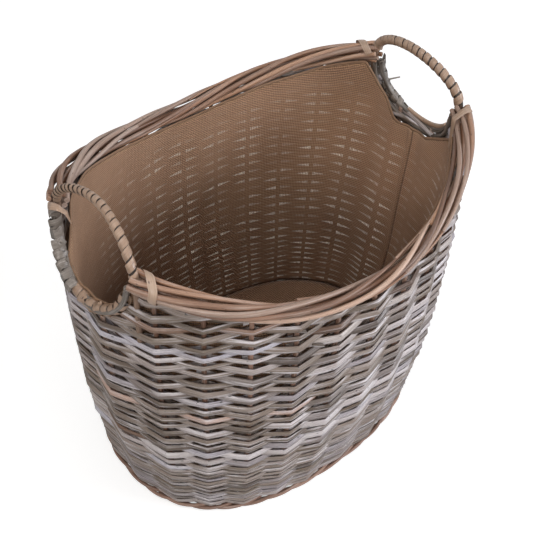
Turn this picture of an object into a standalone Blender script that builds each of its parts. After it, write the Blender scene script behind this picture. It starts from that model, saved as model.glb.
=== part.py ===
"""Oval log carrier in willow, with a cloth liner.

Upright stakes stand in a woven wall over a base of crossed sticks. A rim of four rods
runs along each long side from handle to handle. Bow handles bridge the hand holes at
both ends. Metres, +Z up, front at -Y, origin at the middle of the underside.
"""
import math

import bmesh
import bpy
import numpy as np

# The wall: half sizes of its middle surface in plan, and the heights of the rim's centre
RIM_HALF_LENGTH = 0.2485
RIM_HALF_WIDTH = 0.1835
RIM_PLAN_POWER = 2.06
END_FLARE = 0.0240
SIDE_FLARE = 0.0200
BASE_PLAN_POWER = 2.33
SIDE_RIM_HEIGHT = 0.380
END_RISE = 0.067
SWOOP_POWER = 1.8
WALL_BULGE = 0.012
WALL_THICKNESS = 0.010
CLEARANCE = 0.0003

# The weave's main relief: out over a stake, thin over the next one behind it, sunk between both
FRONT_PASS_PROUD = 0.0015
BACK_PASS_COVER = 0.0008
BETWEEN_STAKES_DIP = 0.0045
LOWER_COURSES = 4
MIDDLE_COURSES = 10
UPPER_COURSES = 1

# The wall's courses, from the floor up
FOOT_HEIGHT = 0.009
FOOT_ROUND = 0.0025
FOOT_PROUD = 0.0015
FOOT_LEDGE = 0.014
LOWER_SIDING_TOP = 0.110
MIDDLE_BEND_HEIGHT = 0.220
UPPER_SIDING_HEIGHT = 0.040

# Stakes and where they stand, measured round the rim from the middle of an end
STAKE_DIAMETER = 0.006
SIDE_STAKE_COUNT = 11
END_STAKE_ARC = 0.0266
LEG_ARC = 0.0750
LEG_TO_STAKE = 0.0175

# Base: sticks threaded through split cross sticks, with fine weave round them
BASE_WEAVE_THICKNESS = 0.009
LONG_STICK_COUNT = 3
LONG_STICK_FROM_SIDE = 0.1135
LONG_STICK_WIDTH = 0.007
LONG_STICK_THICKNESS = 0.004
CROSS_STICK_COUNT = 4
CROSS_STICK_FROM_END = 0.082
CROSS_STICK_WIDTH = 0.011
CROSS_STICK_THICKNESS = 0.007
STICK_EDGE_ROUND = 0.0008

# Rim rods: four to a side, twisted together, opened out to pass the handle's leg
RIM_ROD_RADIUS = 0.0045
RIM_TIP_RADIUS = 0.0033
RIM_ROD_REACH = 0.0069
RIM_QUARTER_TWISTS = 7
RIM_OVERRUN = 0.011
RIM_SPREAD_REACH = 0.006
RIM_OPENING_LENGTH = 0.015
RIM_TIP_SPREAD = 0.0081
RIM_TIP_LIFT = 0.0044

# Bow handles and the strips wound on them
BOW_RADIUS = 0.0045
BOW_TIP_RADIUS = 0.0030
BOW_RISE = 0.045
BOW_LEAN = 0.0097
BOW_ARCH_POWER = 1.85
BOW_TURNS = 18
BOW_STRIP_WIDTH = 0.0060
BOW_STRIP_THICKNESS = 0.0013
SKEIN_LIFT = 0.0006

# Hand holes: a rod along the lower edge, wound with a wider strip
HOLE_HALF_ARC = 0.0655
HOLE_DEPTH = 0.0660
HOLE_ROD_RADIUS = 0.0034
HOLE_TURNS = 15
HOLE_STRIP_WIDTH = 0.0085
HOLE_STRIP_THICKNESS = 0.0012
HOLE_SEAT_GAP = 0.0009

# Lashings: two turns round the rim beside each leg
LASHING_TURNS = 2
LASHING_STRIP_WIDTH = 0.0050
LASHING_STRIP_THICKNESS = 0.0012
LASHING_FROM_LEG = 0.0215
LASHING_LENGTH = 0.0290
LASHING_SEAT_GAP = 0.0006

# Liner
CLOTH_THICKNESS = 0.0016
LINER_ABOVE_HOLE_EDGE = 0.003
LINER_SLACK = 0.0009

# How finely round shapes are stepped
OVAL_SAMPLES = 2880
ROUTE_SAMPLES = 600
BOW_FINE_STEPS = 20
ROD_SIDES = 6
BOW_SIDES = 8
RIM_STATIONS = 18
RIM_OPENING_STATIONS = 2
BOW_STATIONS = 24
HOLE_STATIONS = 20
HOLE_TOP_STATIONS = 15
LINER_HOLE_STATIONS = 9
TURN_POINTS = 8
LASHING_TURN_POINTS = 12
TAIL_TURN_POINTS = 3
TAIL_BEND_SHARE = 0.75
SMOOTH_ANGLE = math.radians(62)

# Colours as seen, in sRGB steps of 255, and how rough each finish is
GREY_WASH = (152, 142, 134)
BROWN_ROD = (150, 110, 92)
RIM_TAN = (178, 143, 123)
SKEIN_TAN = (170, 135, 112)
GREY_SKEIN = (140, 128, 118)
HESSIAN = (150, 116, 88)
PALE_WOOD = (165, 135, 108)
WILLOW_ROUGHNESS = 0.62
SKEIN_ROUGHNESS = 0.42
CLOTH_ROUGHNESS = 0.95

BASE_HALF_LENGTH = RIM_HALF_LENGTH - END_FLARE
BASE_HALF_WIDTH = RIM_HALF_WIDTH - SIDE_FLARE
MIDDLE_SIDING_TOP = SIDE_RIM_HEIGHT - UPPER_SIDING_HEIGHT
HALF_CHANNEL = STAKE_DIAMETER / 2 + CLEARANCE
RIM_OUTER_RADIUS = RIM_ROD_REACH + RIM_ROD_RADIUS
LASHING_OUTER_RADIUS = RIM_OUTER_RADIUS + SKEIN_LIFT + LASHING_STRIP_THICKNESS
WALL_DROP = LASHING_OUTER_RADIUS + LASHING_SEAT_GAP
HOLE_OUTER_RADIUS = HOLE_ROD_RADIUS + SKEIN_LIFT + HOLE_STRIP_THICKNESS
STAND_HEIGHT = FOOT_HEIGHT + CLEARANCE
BASE_TOP = STAND_HEIGHT + BASE_WEAVE_THICKNESS
INNER_FACE = -WALL_THICKNESS / 2


def signed_power(value, power):
    """Raise a value's size to a power and keep its sign."""
    return np.sign(value) * np.abs(value) ** power


def oval(angle, half_length, half_width, power):
    """Point of a squared-off oval at an angle from +X."""
    return np.array([
        half_length * signed_power(np.cos(angle), 2 / power),
        half_width * signed_power(np.sin(angle), 2 / power),
    ])


def measure_rim():
    """Angles and the distances round the rim that they stand for."""
    angles = np.linspace(0, 2 * math.pi, OVAL_SAMPLES + 1)
    points = oval(angles, RIM_HALF_LENGTH, RIM_HALF_WIDTH, RIM_PLAN_POWER)
    steps = np.linalg.norm(np.diff(points, axis=1), axis=0)
    return angles, np.concatenate([[0], np.cumsum(steps)])


RIM_ANGLES, RIM_ARCS = measure_rim()
PERIMETER = RIM_ARCS[-1]
HALF_ROUND = PERIMETER / 2


def angle_at(arc):
    """Angle of the place that lies this far round the rim from the +X end."""
    return float(np.interp(arc % PERIMETER, RIM_ARCS, RIM_ANGLES))


def outward(angle):
    """Level unit vector that points out of the wall."""
    point = oval(angle, RIM_HALF_LENGTH, RIM_HALF_WIDTH, RIM_PLAN_POWER)
    halves = np.array([RIM_HALF_LENGTH, RIM_HALF_WIDTH])
    slope = signed_power(point / halves, RIM_PLAN_POWER - 1) / halves
    return np.append(slope / np.linalg.norm(slope), 0.0)


def sideways(angle):
    """Level unit vector along the wall, in the sense of growing arcs."""
    out = outward(angle)
    return np.array([-out[1], out[0], 0.0])


def rim_height(angle):
    """Height of the rim's centre, low on the long sides and high at the ends."""
    along = oval(angle, RIM_HALF_LENGTH, RIM_HALF_WIDTH, RIM_PLAN_POWER)[0]
    return SIDE_RIM_HEIGHT + END_RISE * abs(along / RIM_HALF_LENGTH) ** SWOOP_POWER


def wall_at_share(angle, share):
    """Plan point of the wall's middle surface, at a share of the way up to the rim."""
    low = oval(angle, BASE_HALF_LENGTH, BASE_HALF_WIDTH, BASE_PLAN_POWER)
    high = oval(angle, RIM_HALF_LENGTH, RIM_HALF_WIDTH, RIM_PLAN_POWER)
    bulge = WALL_BULGE * 4 * share * (1 - share)
    return low * (1 - share) + high * share + outward(angle)[:2] * bulge


def wall_centre(angle, height):
    """Point of the wall's middle surface, straight between the heights where it bends."""
    top = rim_height(angle)
    bends = [0, LOWER_SIDING_TOP, MIDDLE_BEND_HEIGHT, MIDDLE_SIDING_TOP, top]
    places = np.array([wall_at_share(angle, bend / top) for bend in bends])
    return np.array([
        np.interp(height, bends, places[:, 0]),
        np.interp(height, bends, places[:, 1]),
        height,
    ])


def from_nearest_end(arc):
    """Distance round the rim to the middle of the nearer end."""
    along = arc % HALF_ROUND
    return min(along, HALF_ROUND - along)


def under_rim(arc, drop):
    """Height at a place under the rim, a drop away square to the rim's slope."""
    step = PERIMETER / OVAL_SAMPLES
    rise = rim_height(angle_at(arc + step)) - rim_height(angle_at(arc - step))
    return rim_height(angle_at(arc)) - drop * math.hypot(1, rise / (2 * step))


LEG_RIM_HEIGHT = rim_height(angle_at(LEG_ARC))
HOLE_TOP_HEIGHT = LEG_RIM_HEIGHT - RIM_TIP_LIFT - RIM_TIP_RADIUS - CLEARANCE


def hole_edge_height(distance, half_arc, depth):
    """Height of a half oval under the hand hole, at a distance from its middle."""
    share = min(distance / half_arc, 1.0)
    return HOLE_TOP_HEIGHT - depth * math.sqrt(1 - share * share)


def upper_siding_top(arc):
    """Top of the wall: under the rim on the long sides, under the hole's rod at the ends."""
    side_top = under_rim(arc, WALL_DROP)
    spare = HOLE_OUTER_RADIUS + HOLE_SEAT_GAP
    half_arc = HOLE_HALF_ARC + spare
    distance = from_nearest_end(arc)
    if distance >= half_arc:
        return side_top
    return min(side_top, hole_edge_height(distance, half_arc, HOLE_DEPTH + spare))


def stake_arcs():
    """Where the stakes stand round the rim, two at each end and the rest on the sides."""
    first = LEG_ARC + LEG_TO_STAKE
    side = np.linspace(first, HALF_ROUND - first, SIDE_STAKE_COUNT)
    half = [END_STAKE_ARC, *side, HALF_ROUND - END_STAKE_ARC]
    return [*half, *[HALF_ROUND + arc for arc in half]]


def leg_arcs():
    """Where the four handle legs go down, by name."""
    return {
        "back_right": LEG_ARC,
        "back_left": HALF_ROUND - LEG_ARC,
        "front_left": HALF_ROUND + LEG_ARC,
        "front_right": PERIMETER - LEG_ARC,
    }


def between(arcs):
    """Places half way between neighbouring arcs."""
    following = [*arcs[1:], arcs[0] + PERIMETER]
    return [(arc + after) / 2 for arc, after in zip(arcs, following)]


def hole_top_arcs(stations):
    """Places along both hand holes where a top edge is stepped."""
    half_arc = HOLE_HALF_ARC + HOLE_OUTER_RADIUS + HOLE_SEAT_GAP
    turns = np.linspace(0, math.pi, stations + 2)[1:-1]
    steps = [half_arc * math.cos(turn) for turn in turns]
    return [(end + step) % PERIMETER for end in (0, HALF_ROUND) for step in steps]


def colour_value(step):
    """Linear light value of one sRGB step out of 255."""
    share = step / 255
    return share / 12.92 if share <= 0.04045 else ((share + 0.055) / 1.055) ** 2.4


def finish(name, colour, roughness):
    """Plain shader in a piece's own colour."""
    material = bpy.data.materials.new(f"{name}_finish")
    material.use_nodes = True
    shader = material.node_tree.nodes["Principled BSDF"]
    shader.inputs["Base Color"].default_value = (*[colour_value(step) for step in colour], 1.0)
    shader.inputs["Roughness"].default_value = roughness
    shader.inputs["Metallic"].default_value = 0.0
    return material


def add_piece(name, vertices, faces, colour, roughness=WILLOW_ROUGHNESS, smooth_angle=0.0):
    """Closed mesh object with its faces turned outwards."""
    mesh = bpy.data.meshes.new(name)
    mesh.from_pydata([tuple(float(value) for value in vertex) for vertex in vertices], [], faces)
    shape = bmesh.new()
    shape.from_mesh(mesh)
    bmesh.ops.recalc_face_normals(shape, faces=shape.faces)
    shape.to_mesh(mesh)
    shape.free()
    if smooth_angle:
        mesh.shade_smooth()
        mesh.set_sharp_from_angle(angle=smooth_angle)
    mesh.materials.append(finish(name, colour, roughness))
    piece = bpy.data.objects.new(name, mesh)
    bpy.context.scene.collection.objects.link(piece)
    return piece


def sweep(name, rings, colour, roughness=WILLOW_ROUGHNESS):
    """Closed skin over a row of equal rings, with both ends filled."""
    sides = len(rings[0])
    vertices = [point for ring in rings for point in ring]
    faces = []
    for row in range(len(rings) - 1):
        for side in range(sides):
            after = (side + 1) % sides
            low = row * sides
            high = low + sides
            faces.append((low + side, low + after, high + after, high + side))
    faces.append(tuple(range(sides)))
    faces.append(tuple(len(vertices) - sides + side for side in range(sides)))
    return add_piece(name, vertices, faces, colour, roughness, SMOOTH_ANGLE)


def round_ring(centre, across, upright, radius, sides):
    """Points of a circle square to a rod, given two directions across it."""
    turns = [2 * math.pi * side / sides for side in range(sides)]
    return [centre + across * (radius * math.cos(turn)) + upright * (radius * math.sin(turn))
            for turn in turns]


class Route:
    """A smooth line through space that pieces follow, with the wall's outward side known."""

    def __init__(self, points, outs):
        self.points = np.array(points)
        self.outs = np.array(outs)
        steps = np.linalg.norm(np.diff(self.points, axis=0), axis=1)
        self.travel = np.concatenate([[0], np.cumsum(steps)])
        self.length = self.travel[-1]
        self.directions = np.gradient(self.points, self.travel, axis=0)

    def read(self, table, distance):
        """Value of one of the route's tables at a distance along it."""
        return np.array([np.interp(distance, self.travel, table[:, axis]) for axis in range(3)])

    def frame(self, distance):
        """Point, direction, outward vector and the vector square to both."""
        direction = self.read(self.directions, distance)
        direction = direction / np.linalg.norm(direction)
        out = self.read(self.outs, distance)
        out = out - direction * np.dot(out, direction)
        out = out / np.linalg.norm(out)
        return self.read(self.points, distance), direction, out, np.cross(out, direction)


def column_arcs(stations):
    """Columns of a band: a pair for each channel and one for each plain place."""
    columns = []
    for arc, channel in sorted(stations):
        sides = (-1, 1) if channel else (0,)
        columns += [(arc, side, channel) for side in sides]
    return columns


def weave_depth(arc, course, channel):
    """Depth of the wall's outer face: its rods pass before every other stake, course by course."""
    stakes = stake_arcs()
    ring = [stakes[-1] - PERIMETER, *stakes, stakes[0] + PERIMETER]
    place = float(np.interp(arc, ring, np.arange(len(ring)) - 1))
    nearest = round(place)
    before = WALL_THICKNESS / 2 + FRONT_PASS_PROUD
    behind = HALF_CHANNEL + BACK_PASS_COVER
    at_stake = before if (nearest + course) % 2 == 0 else behind
    between_stakes = WALL_THICKNESS / 2 - BETWEEN_STAKES_DIP
    depth = at_stake + (between_stakes - at_stake) * 2 * abs(place - nearest)
    return max(depth, behind) if channel else depth


def band(name, stations, bottom, bends, top_at, first_course, courses):
    """Ring of woven wall with an upright channel for each stake and leg, its outer face in courses."""
    columns = column_arcs(stations)
    vertices = []
    place = {}
    for column, (arc, side, channel) in enumerate(columns):
        angle = angle_at(arc)
        out = outward(angle)
        shift = sideways(angle) * (side * HALF_CHANNEL)
        top = top_at(arc + side * HALF_CHANNEL)
        upright_lines = {3: INNER_FACE}
        if channel:
            upright_lines.update({1: HALF_CHANNEL, 2: -HALF_CHANNEL})
        for row, depth in upright_lines.items():
            for level, height in enumerate((bottom, *bends, top)):
                place[column, row, level] = len(vertices)
                vertices.append(wall_centre(angle, height) + shift + out * depth)
        for level, height in enumerate(np.linspace(bottom, top, courses + 1)):
            depth = weave_depth(arc, first_course + level, channel)
            place[column, 0, level] = len(vertices)
            vertices.append(wall_centre(angle, height) + shift + out * depth)
    spans = len(bends) + 1
    top_level = (courses, spans, spans, spans)
    faces = []
    for column, (arc, side, channel) in enumerate(columns):
        after = (column + 1) % len(columns)
        over_channel = channel and side < 0
        faces += [wall_face(place, column, after, 0, 0, level) for level in range(courses)]
        for level in range(spans):
            faces.append(wall_face(place, column, after, 3, 3, level))
            if over_channel:
                faces.append(wall_face(place, column, after, 1, 1, level))
                faces.append(wall_face(place, column, after, 2, 2, level))
            if channel:
                faces.append(wall_face(place, column, column, 1, 2, level))
        for end in (0, 1):
            for rows in ((0, 1), (2, 3)) if over_channel else ((0, 1, 2, 3),):
                here = [place[column, row, end * top_level[row]]
                        for row in rows if (column, row, 0) in place]
                there = [place[after, row, end * top_level[row]]
                         for row in rows if (after, row, 0) in place]
                faces.append((*here, *reversed(there)))
    return add_piece(name, vertices, faces, GREY_WASH)


def wall_face(place, column, other_column, row, other_row, level):
    """Upright face of a band between two of its vertical edges."""
    return (place[column, row, level], place[other_column, other_row, level],
            place[other_column, other_row, level + 1], place[column, row, level + 1])


def make_sidings():
    """Three bands of weave, one over the other, on the same stakes."""
    stakes = stake_arcs()
    plain = [(arc, False) for arc in between(stakes)]
    channels = [(arc, True) for arc in stakes]
    band("lower_siding", channels + plain, STAND_HEIGHT, [],
         steady(LOWER_SIDING_TOP), 0, LOWER_COURSES)
    band("middle_siding", channels + plain, LOWER_SIDING_TOP + CLEARANCE, [MIDDLE_BEND_HEIGHT],
         steady(MIDDLE_SIDING_TOP), LOWER_COURSES, MIDDLE_COURSES)
    legs = [(arc, True) for arc in leg_arcs().values()]
    hole_reach = HOLE_HALF_ARC + HOLE_OUTER_RADIUS
    side_plain = [(arc % PERIMETER, False) for arc in between(stakes)
                  if from_nearest_end(arc) > hole_reach]
    hole_plain = [(arc, False) for arc in hole_top_arcs(HOLE_TOP_STATIONS)
                  if abs(from_nearest_end(arc) - END_STAKE_ARC) > STAKE_DIAMETER]
    band("upper_siding", channels + legs + side_plain + hole_plain,
         MIDDLE_SIDING_TOP + CLEARANCE, [], upper_siding_top,
         LOWER_COURSES + MIDDLE_COURSES, UPPER_COURSES)


def ring_piece(name, profile, arcs, colour, roughness=WILLOW_ROUGHNESS):
    """Ring that follows the wall, from (depth, height at an arc) points round its section."""
    vertices = []
    for arc in arcs:
        angle = angle_at(arc)
        for depth, height_at in profile:
            vertices.append(wall_centre(angle, height_at(arc)) + outward(angle) * depth)
    rows = len(profile)
    faces = []
    for column in range(len(arcs)):
        after = (column + 1) % len(arcs)
        for row in range(rows):
            above = (row + 1) % rows
            faces.append((column * rows + row, after * rows + row,
                          after * rows + above, column * rows + above))
    return add_piece(name, vertices, faces, colour, roughness)


def steady(height):
    """Height that is the same all the way round."""
    return lambda arc: height


def oval_arcs():
    """Places round the wall used by rings without channels."""
    stakes = stake_arcs()
    return sorted(arc % PERIMETER for arc in [*stakes, *between(stakes)])


def make_foot_border():
    """Bottom ring of thicker rods, with a ledge inwards that carries base and stakes."""
    outer = WALL_THICKNESS / 2 + FOOT_PROUD
    ledge = INNER_FACE - FOOT_LEDGE
    profile = [
        (ledge, steady(0)),
        (outer - FOOT_ROUND, steady(0)),
        (outer, steady(FOOT_ROUND)),
        (outer, steady(FOOT_HEIGHT - FOOT_ROUND)),
        (outer - FOOT_ROUND, steady(FOOT_HEIGHT)),
        (ledge, steady(FOOT_HEIGHT)),
    ]
    ring_piece("foot_border", profile, oval_arcs(), BROWN_ROD)


def make_stakes():
    """Upright rods in the wall's channels."""
    for number, arc in enumerate(stake_arcs(), start=1):
        angle = angle_at(arc)
        top = under_rim(arc, RIM_OUTER_RADIUS + CLEARANCE)
        if from_nearest_end(arc) < HOLE_HALF_ARC:
            top = min(upper_siding_top(arc - HALF_CHANNEL), upper_siding_top(arc + HALF_CHANNEL))
        heights = [STAND_HEIGHT, LOWER_SIDING_TOP, MIDDLE_BEND_HEIGHT, MIDDLE_SIDING_TOP, top]
        rings = [round_ring(wall_centre(angle, height), outward(angle), sideways(angle),
                            STAKE_DIAMETER / 2, ROD_SIDES) for height in heights]
        sweep(f"stake_{number:02d}", rings, BROWN_ROD)


def box_mesh(name, boxes, colour):
    """Closed boxes given by centre and full size, in one object."""
    mesh = bpy.data.meshes.new(name)
    shape = bmesh.new()
    for centre, size in boxes:
        made = bmesh.ops.create_cube(shape, size=1)
        bmesh.ops.scale(shape, vec=size, verts=made["verts"])
        bmesh.ops.translate(shape, vec=centre, verts=made["verts"])
    shape.to_mesh(mesh)
    shape.free()
    mesh.materials.append(finish(name, colour, WILLOW_ROUGHNESS))
    piece = bpy.data.objects.new(name, mesh)
    bpy.context.scene.collection.objects.link(piece)
    return piece


def cutter(name, boxes):
    """Boxes that only cut other pieces."""
    piece = box_mesh(name, boxes, BROWN_ROD)
    piece.hide_render = True
    piece.display_type = "WIRE"
    return piece


def cut_with(piece, tool):
    """Take a cutter's shape out of a piece."""
    cut = piece.modifiers.new(f"cut_{tool.name}", "BOOLEAN")
    cut.operation = "DIFFERENCE"
    cut.solver = "EXACT"
    cut.object = tool


def round_edges(piece):
    """Break the long edges of a stick."""
    edge = piece.modifiers.new("edges", "BEVEL")
    edge.width = STICK_EDGE_ROUND
    edge.segments = 1


def base_half_sizes(depth):
    """Half length and width of the base at the floor, at a depth from the wall's middle."""
    return BASE_HALF_LENGTH + depth, BASE_HALF_WIDTH + depth


def base_half_chord(place, half_here, half_other):
    """Half length of the base along one way, at a place along the other."""
    share = 1 - (abs(place) / half_other) ** BASE_PLAN_POWER
    return half_here * share ** (1 / BASE_PLAN_POWER)


def stick_places(count, outermost):
    """Evenly spaced places about zero, out to the outermost stick on either side."""
    return [float(place) for place in np.linspace(-outermost, outermost, count)]


def make_base():
    """Split cross sticks, the long sticks threaded through them, and the weave round both."""
    half_length, half_width = base_half_sizes(INNER_FACE - CLEARANCE)
    rows = stick_places(LONG_STICK_COUNT, BASE_HALF_WIDTH - LONG_STICK_FROM_SIDE)
    lines = stick_places(CROSS_STICK_COUNT, BASE_HALF_LENGTH - CROSS_STICK_FROM_END)
    cross_middle = STAND_HEIGHT + CROSS_STICK_THICKNESS / 2
    cross_halves = [base_half_chord(line, half_width, half_length) - CROSS_STICK_WIDTH
                    for line in lines]
    long_halves = [base_half_chord(row, half_length, half_width) - CROSS_STICK_WIDTH
                   for row in rows]
    bores = cutter("long_stick_bores", [
        ((0, row, cross_middle),
         (2 * half_length, LONG_STICK_WIDTH + 2 * CLEARANCE, LONG_STICK_THICKNESS + 2 * CLEARANCE))
        for row in rows])
    for number, (line, half) in enumerate(zip(lines, cross_halves), start=1):
        stick = box_mesh(f"base_cross_stick_{number}", [
            ((line, 0, cross_middle), (CROSS_STICK_WIDTH, 2 * half, CROSS_STICK_THICKNESS))],
            PALE_WOOD)
        cut_with(stick, bores)
    for number, (row, half) in enumerate(zip(rows, long_halves), start=1):
        stick = box_mesh(f"base_long_stick_{number}", [
            ((0, row, cross_middle), (2 * half, LONG_STICK_WIDTH, LONG_STICK_THICKNESS))],
            PALE_WOOD)
        round_edges(stick)
    make_base_weave(rows, lines, long_halves, cross_halves, cross_middle)


def make_base_weave(rows, lines, long_halves, cross_halves, cross_middle):
    """Oval mat with grooves underneath for the sticks."""
    profile_arcs = oval_arcs()
    edge = INNER_FACE - CLEARANCE
    outline = [wall_centre(angle_at(arc), STAND_HEIGHT) + outward(angle_at(arc)) * edge
               for arc in profile_arcs]
    rise = np.array([0, 0, BASE_WEAVE_THICKNESS])
    count = len(outline)
    faces = [(side, (side + 1) % count, (side + 1) % count + count, side + count)
             for side in range(count)]
    faces.append(tuple(range(count)))
    faces.append(tuple(range(count, 2 * count)))
    mat = add_piece("base_weave", [*outline, *[point + rise for point in outline]], faces, GREY_WASH)
    long_groove = cross_middle + LONG_STICK_THICKNESS / 2 + CLEARANCE
    cross_groove = STAND_HEIGHT + CROSS_STICK_THICKNESS + CLEARANCE
    cut_with(mat, cutter("long_stick_grooves", [
        ((0, row, long_groove / 2),
         (2 * (half + CLEARANCE), LONG_STICK_WIDTH + 2 * CLEARANCE, long_groove))
        for row, half in zip(rows, long_halves)]))
    cut_with(mat, cutter("cross_stick_grooves", [
        ((line, 0, cross_groove / 2),
         (CROSS_STICK_WIDTH + 2 * CLEARANCE, 2 * (half + CLEARANCE), cross_groove))
        for line, half in zip(lines, cross_halves)]))


def rim_route(start, end):
    """Centre line of the rim from one arc to another."""
    arcs = np.linspace(start, end, ROUTE_SAMPLES)
    angles = [angle_at(arc) for arc in arcs]
    points = [wall_centre(angle, rim_height(angle)) for angle in angles]
    return Route(points, [outward(angle) for angle in angles])


def ease(share):
    """Smooth step from 0 to 1."""
    share = min(max(share, 0.0), 1.0)
    return share * share * (3 - 2 * share)


def rim_distances(length):
    """Places along a rim rod: close together where it opens, even along the twist."""
    spread_end = RIM_OVERRUN + RIM_SPREAD_REACH
    twist_start = spread_end + RIM_OPENING_LENGTH
    opening = np.linspace(spread_end, twist_start, RIM_OPENING_STATIONS + 1)[:-1]
    near_end = [0, RIM_OVERRUN - RIM_SPREAD_REACH, *opening]
    twisted = np.linspace(twist_start, length - twist_start, RIM_STATIONS + 1)
    return [*near_end, *twisted, *[length - distance for distance in reversed(near_end)]]


def make_rim_side(side_name, start, end):
    """Four rods twisted together, spread at both ends so that the handle's legs pass."""
    route = rim_route(start - RIM_OVERRUN, end + RIM_OVERRUN)
    spread_end = RIM_OVERRUN + RIM_SPREAD_REACH
    twist_start = spread_end + RIM_OPENING_LENGTH
    twist_length = route.length - 2 * twist_start
    for number in range(4):
        rings = []
        for distance in rim_distances(route.length):
            from_end = min(distance, route.length - distance)
            closed = ease((from_end - spread_end) / RIM_OPENING_LENGTH)
            twist = min(max((distance - twist_start) / twist_length, 0), 1)
            turn = math.pi / 4 + math.pi / 2 * (number + RIM_QUARTER_TWISTS * twist)
            reach_out = RIM_TIP_SPREAD * math.sqrt(2) * (1 - closed) + RIM_ROD_REACH * closed
            reach_up = RIM_TIP_LIFT * math.sqrt(2) * (1 - closed) + RIM_ROD_REACH * closed
            radius = RIM_TIP_RADIUS * (1 - closed) + RIM_ROD_RADIUS * closed
            point, direction, out, up = route.frame(distance)
            centre = point + out * (reach_out * math.cos(turn)) + up * (reach_up * math.sin(turn))
            rings.append(round_ring(centre, out, up, radius, ROD_SIDES))
        sweep(f"rim_{side_name}_rod_{number + 1}", rings, RIM_TAN)


def bow_route(end_name):
    """Arch of a bow above the rim's centre, from front leg to back leg, leaning in at the top."""
    front = wall_centre(angle_at(leg_arcs()[f"front_{end_name}"]), LEG_RIM_HEIGHT)
    outwards = math.copysign(1, front[0])
    points = []
    for turn in np.linspace(0, math.pi, BOW_STATIONS * BOW_FINE_STEPS + 1):
        climb = signed_power(math.sin(turn), 2 / BOW_ARCH_POWER)
        points.append((front[0] - outwards * BOW_LEAN * climb ** 2,
                       front[1] * signed_power(math.cos(turn), 2 / BOW_ARCH_POWER),
                       LEG_RIM_HEIGHT + BOW_RISE * climb))
    return Route(points, [(outwards, 0, 0)] * len(points))


def leg_rings(end_name, side_name, out, climb):
    """Rings of a bow's shaved leg, upwards in front and downwards at the back."""
    angle = angle_at(leg_arcs()[f"{side_name}_{end_name}"])
    heights = (MIDDLE_SIDING_TOP + CLEARANCE, LEG_RIM_HEIGHT - RIM_OUTER_RADIUS)
    across = np.cross(out, (0, 0, climb))
    rings = [round_ring(wall_centre(angle, height), out, across, BOW_TIP_RADIUS, BOW_SIDES)
             for height in heights]
    return rings[::climb]


def make_bow(end_name):
    """Bent rod whose shaved legs go down beside the stakes."""
    arch = bow_route(end_name)
    rings = []
    for distance in arch.travel[::BOW_FINE_STEPS]:
        point, direction, out, across = arch.frame(distance)
        rings.append(round_ring(point, out, across, BOW_RADIUS, BOW_SIDES))
    front = leg_rings(end_name, "front", out, 1)
    back = leg_rings(end_name, "back", out, -1)
    sweep(f"bow_{end_name}", [*front, *rings, *back], PALE_WOOD)
    return arch


def winding_tail(strip_width, lean):
    """End of a strip that turns from round the rod to along it, and runs straight."""
    bend = strip_width * TAIL_BEND_SHARE
    tail = []
    for step in range(1, TAIL_TURN_POINTS + 1):
        share = step / TAIL_TURN_POINTS
        heading = lean + (math.pi / 2 - lean) * share
        tail.append((bend * (math.sin(heading) - math.sin(lean)),
                     bend * (math.cos(lean) - math.cos(heading)), share))
    tail.append((tail[-1][0], tail[-1][1] + strip_width, 1.0))
    return tail


def unrolled_winding(length, turns, radius, strip_width, turn_points):
    """Rows of (distance round, distance along, share turned along the rod), tails included."""
    full_round = 2 * math.pi * radius
    lean = math.atan2(length / turns, full_round)
    tail = winding_tail(strip_width, lean)
    tail_round, tail_along, turned = tail[-1]
    round_way = full_round * turns - 2 * tail_round
    steps = round(round_way / full_round * turn_points)
    wound = [(tail_round + share * round_way, tail_along + share * (length - 2 * tail_along), 0.0)
             for share in np.linspace(0, 1, steps + 1)]
    opening = [(wound[0][0] - way, wound[0][1] - along, turned)
               for way, along, turned in reversed(tail)]
    closing = [(wound[-1][0] + way, wound[-1][1] + along, turned)
               for way, along, turned in tail]
    return opening + wound + closing


def least_gap(rings, apart):
    """Least distance between strip corners that are more than half a turn apart."""
    corners = np.array(rings)
    least = np.inf
    for index in range(len(corners) - apart):
        later = corners[index + apart:].reshape(-1, 3)
        for corner in corners[index]:
            least = min(least, float(np.linalg.norm(later - corner, axis=1).min()))
    return least


def winding(name, route, span, turns, core_radius, strip, turn_points, colour):
    """One unbroken flat strip wound round a rod, with straight tails along it."""
    start, end = span
    strip_width, strip_thickness = strip
    radius = core_radius + SKEIN_LIFT + strip_thickness / 2
    rings = []
    for way, along, turned in unrolled_winding(end - start, turns, radius, strip_width, turn_points):
        point, direction, out, up = route.frame(start + along)
        turn = way / radius
        lift = out * math.cos(turn) + up * math.sin(turn)
        around = up * math.cos(turn) - out * math.sin(turn)
        slant = turned * math.pi / 2
        side = (direction * math.cos(slant) - around * math.sin(slant)) * (strip_width / 2)
        centre = point + lift * radius
        half = lift * (strip_thickness / 2)
        rings.append([centre - side - half, centre + side - half,
                      centre + side + half, centre - side + half])
    gap = least_gap(rings, turn_points * 3 // 5)
    print(f"{name}: least gap to itself {gap * 1000:.2f} mm")
    sweep(name, rings, colour, SKEIN_ROUGHNESS)


def wrapped_span(arch):
    """Distances along a bow's arch between the tops of the rim on both sides."""
    heights = arch.points[:, 2]
    clear = LEG_RIM_HEIGHT + RIM_TIP_LIFT + RIM_TIP_RADIUS + CLEARANCE
    above = np.nonzero(heights > clear)[0]
    return arch.travel[above[0]], arch.travel[above[-1]]


def make_handle(end_name):
    """A bow and the strip wound over it."""
    arch = make_bow(end_name)
    winding(f"bow_skein_{end_name}", arch, wrapped_span(arch), BOW_TURNS, BOW_RADIUS,
            (BOW_STRIP_WIDTH, BOW_STRIP_THICKNESS), TURN_POINTS, SKEIN_TAN)


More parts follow.
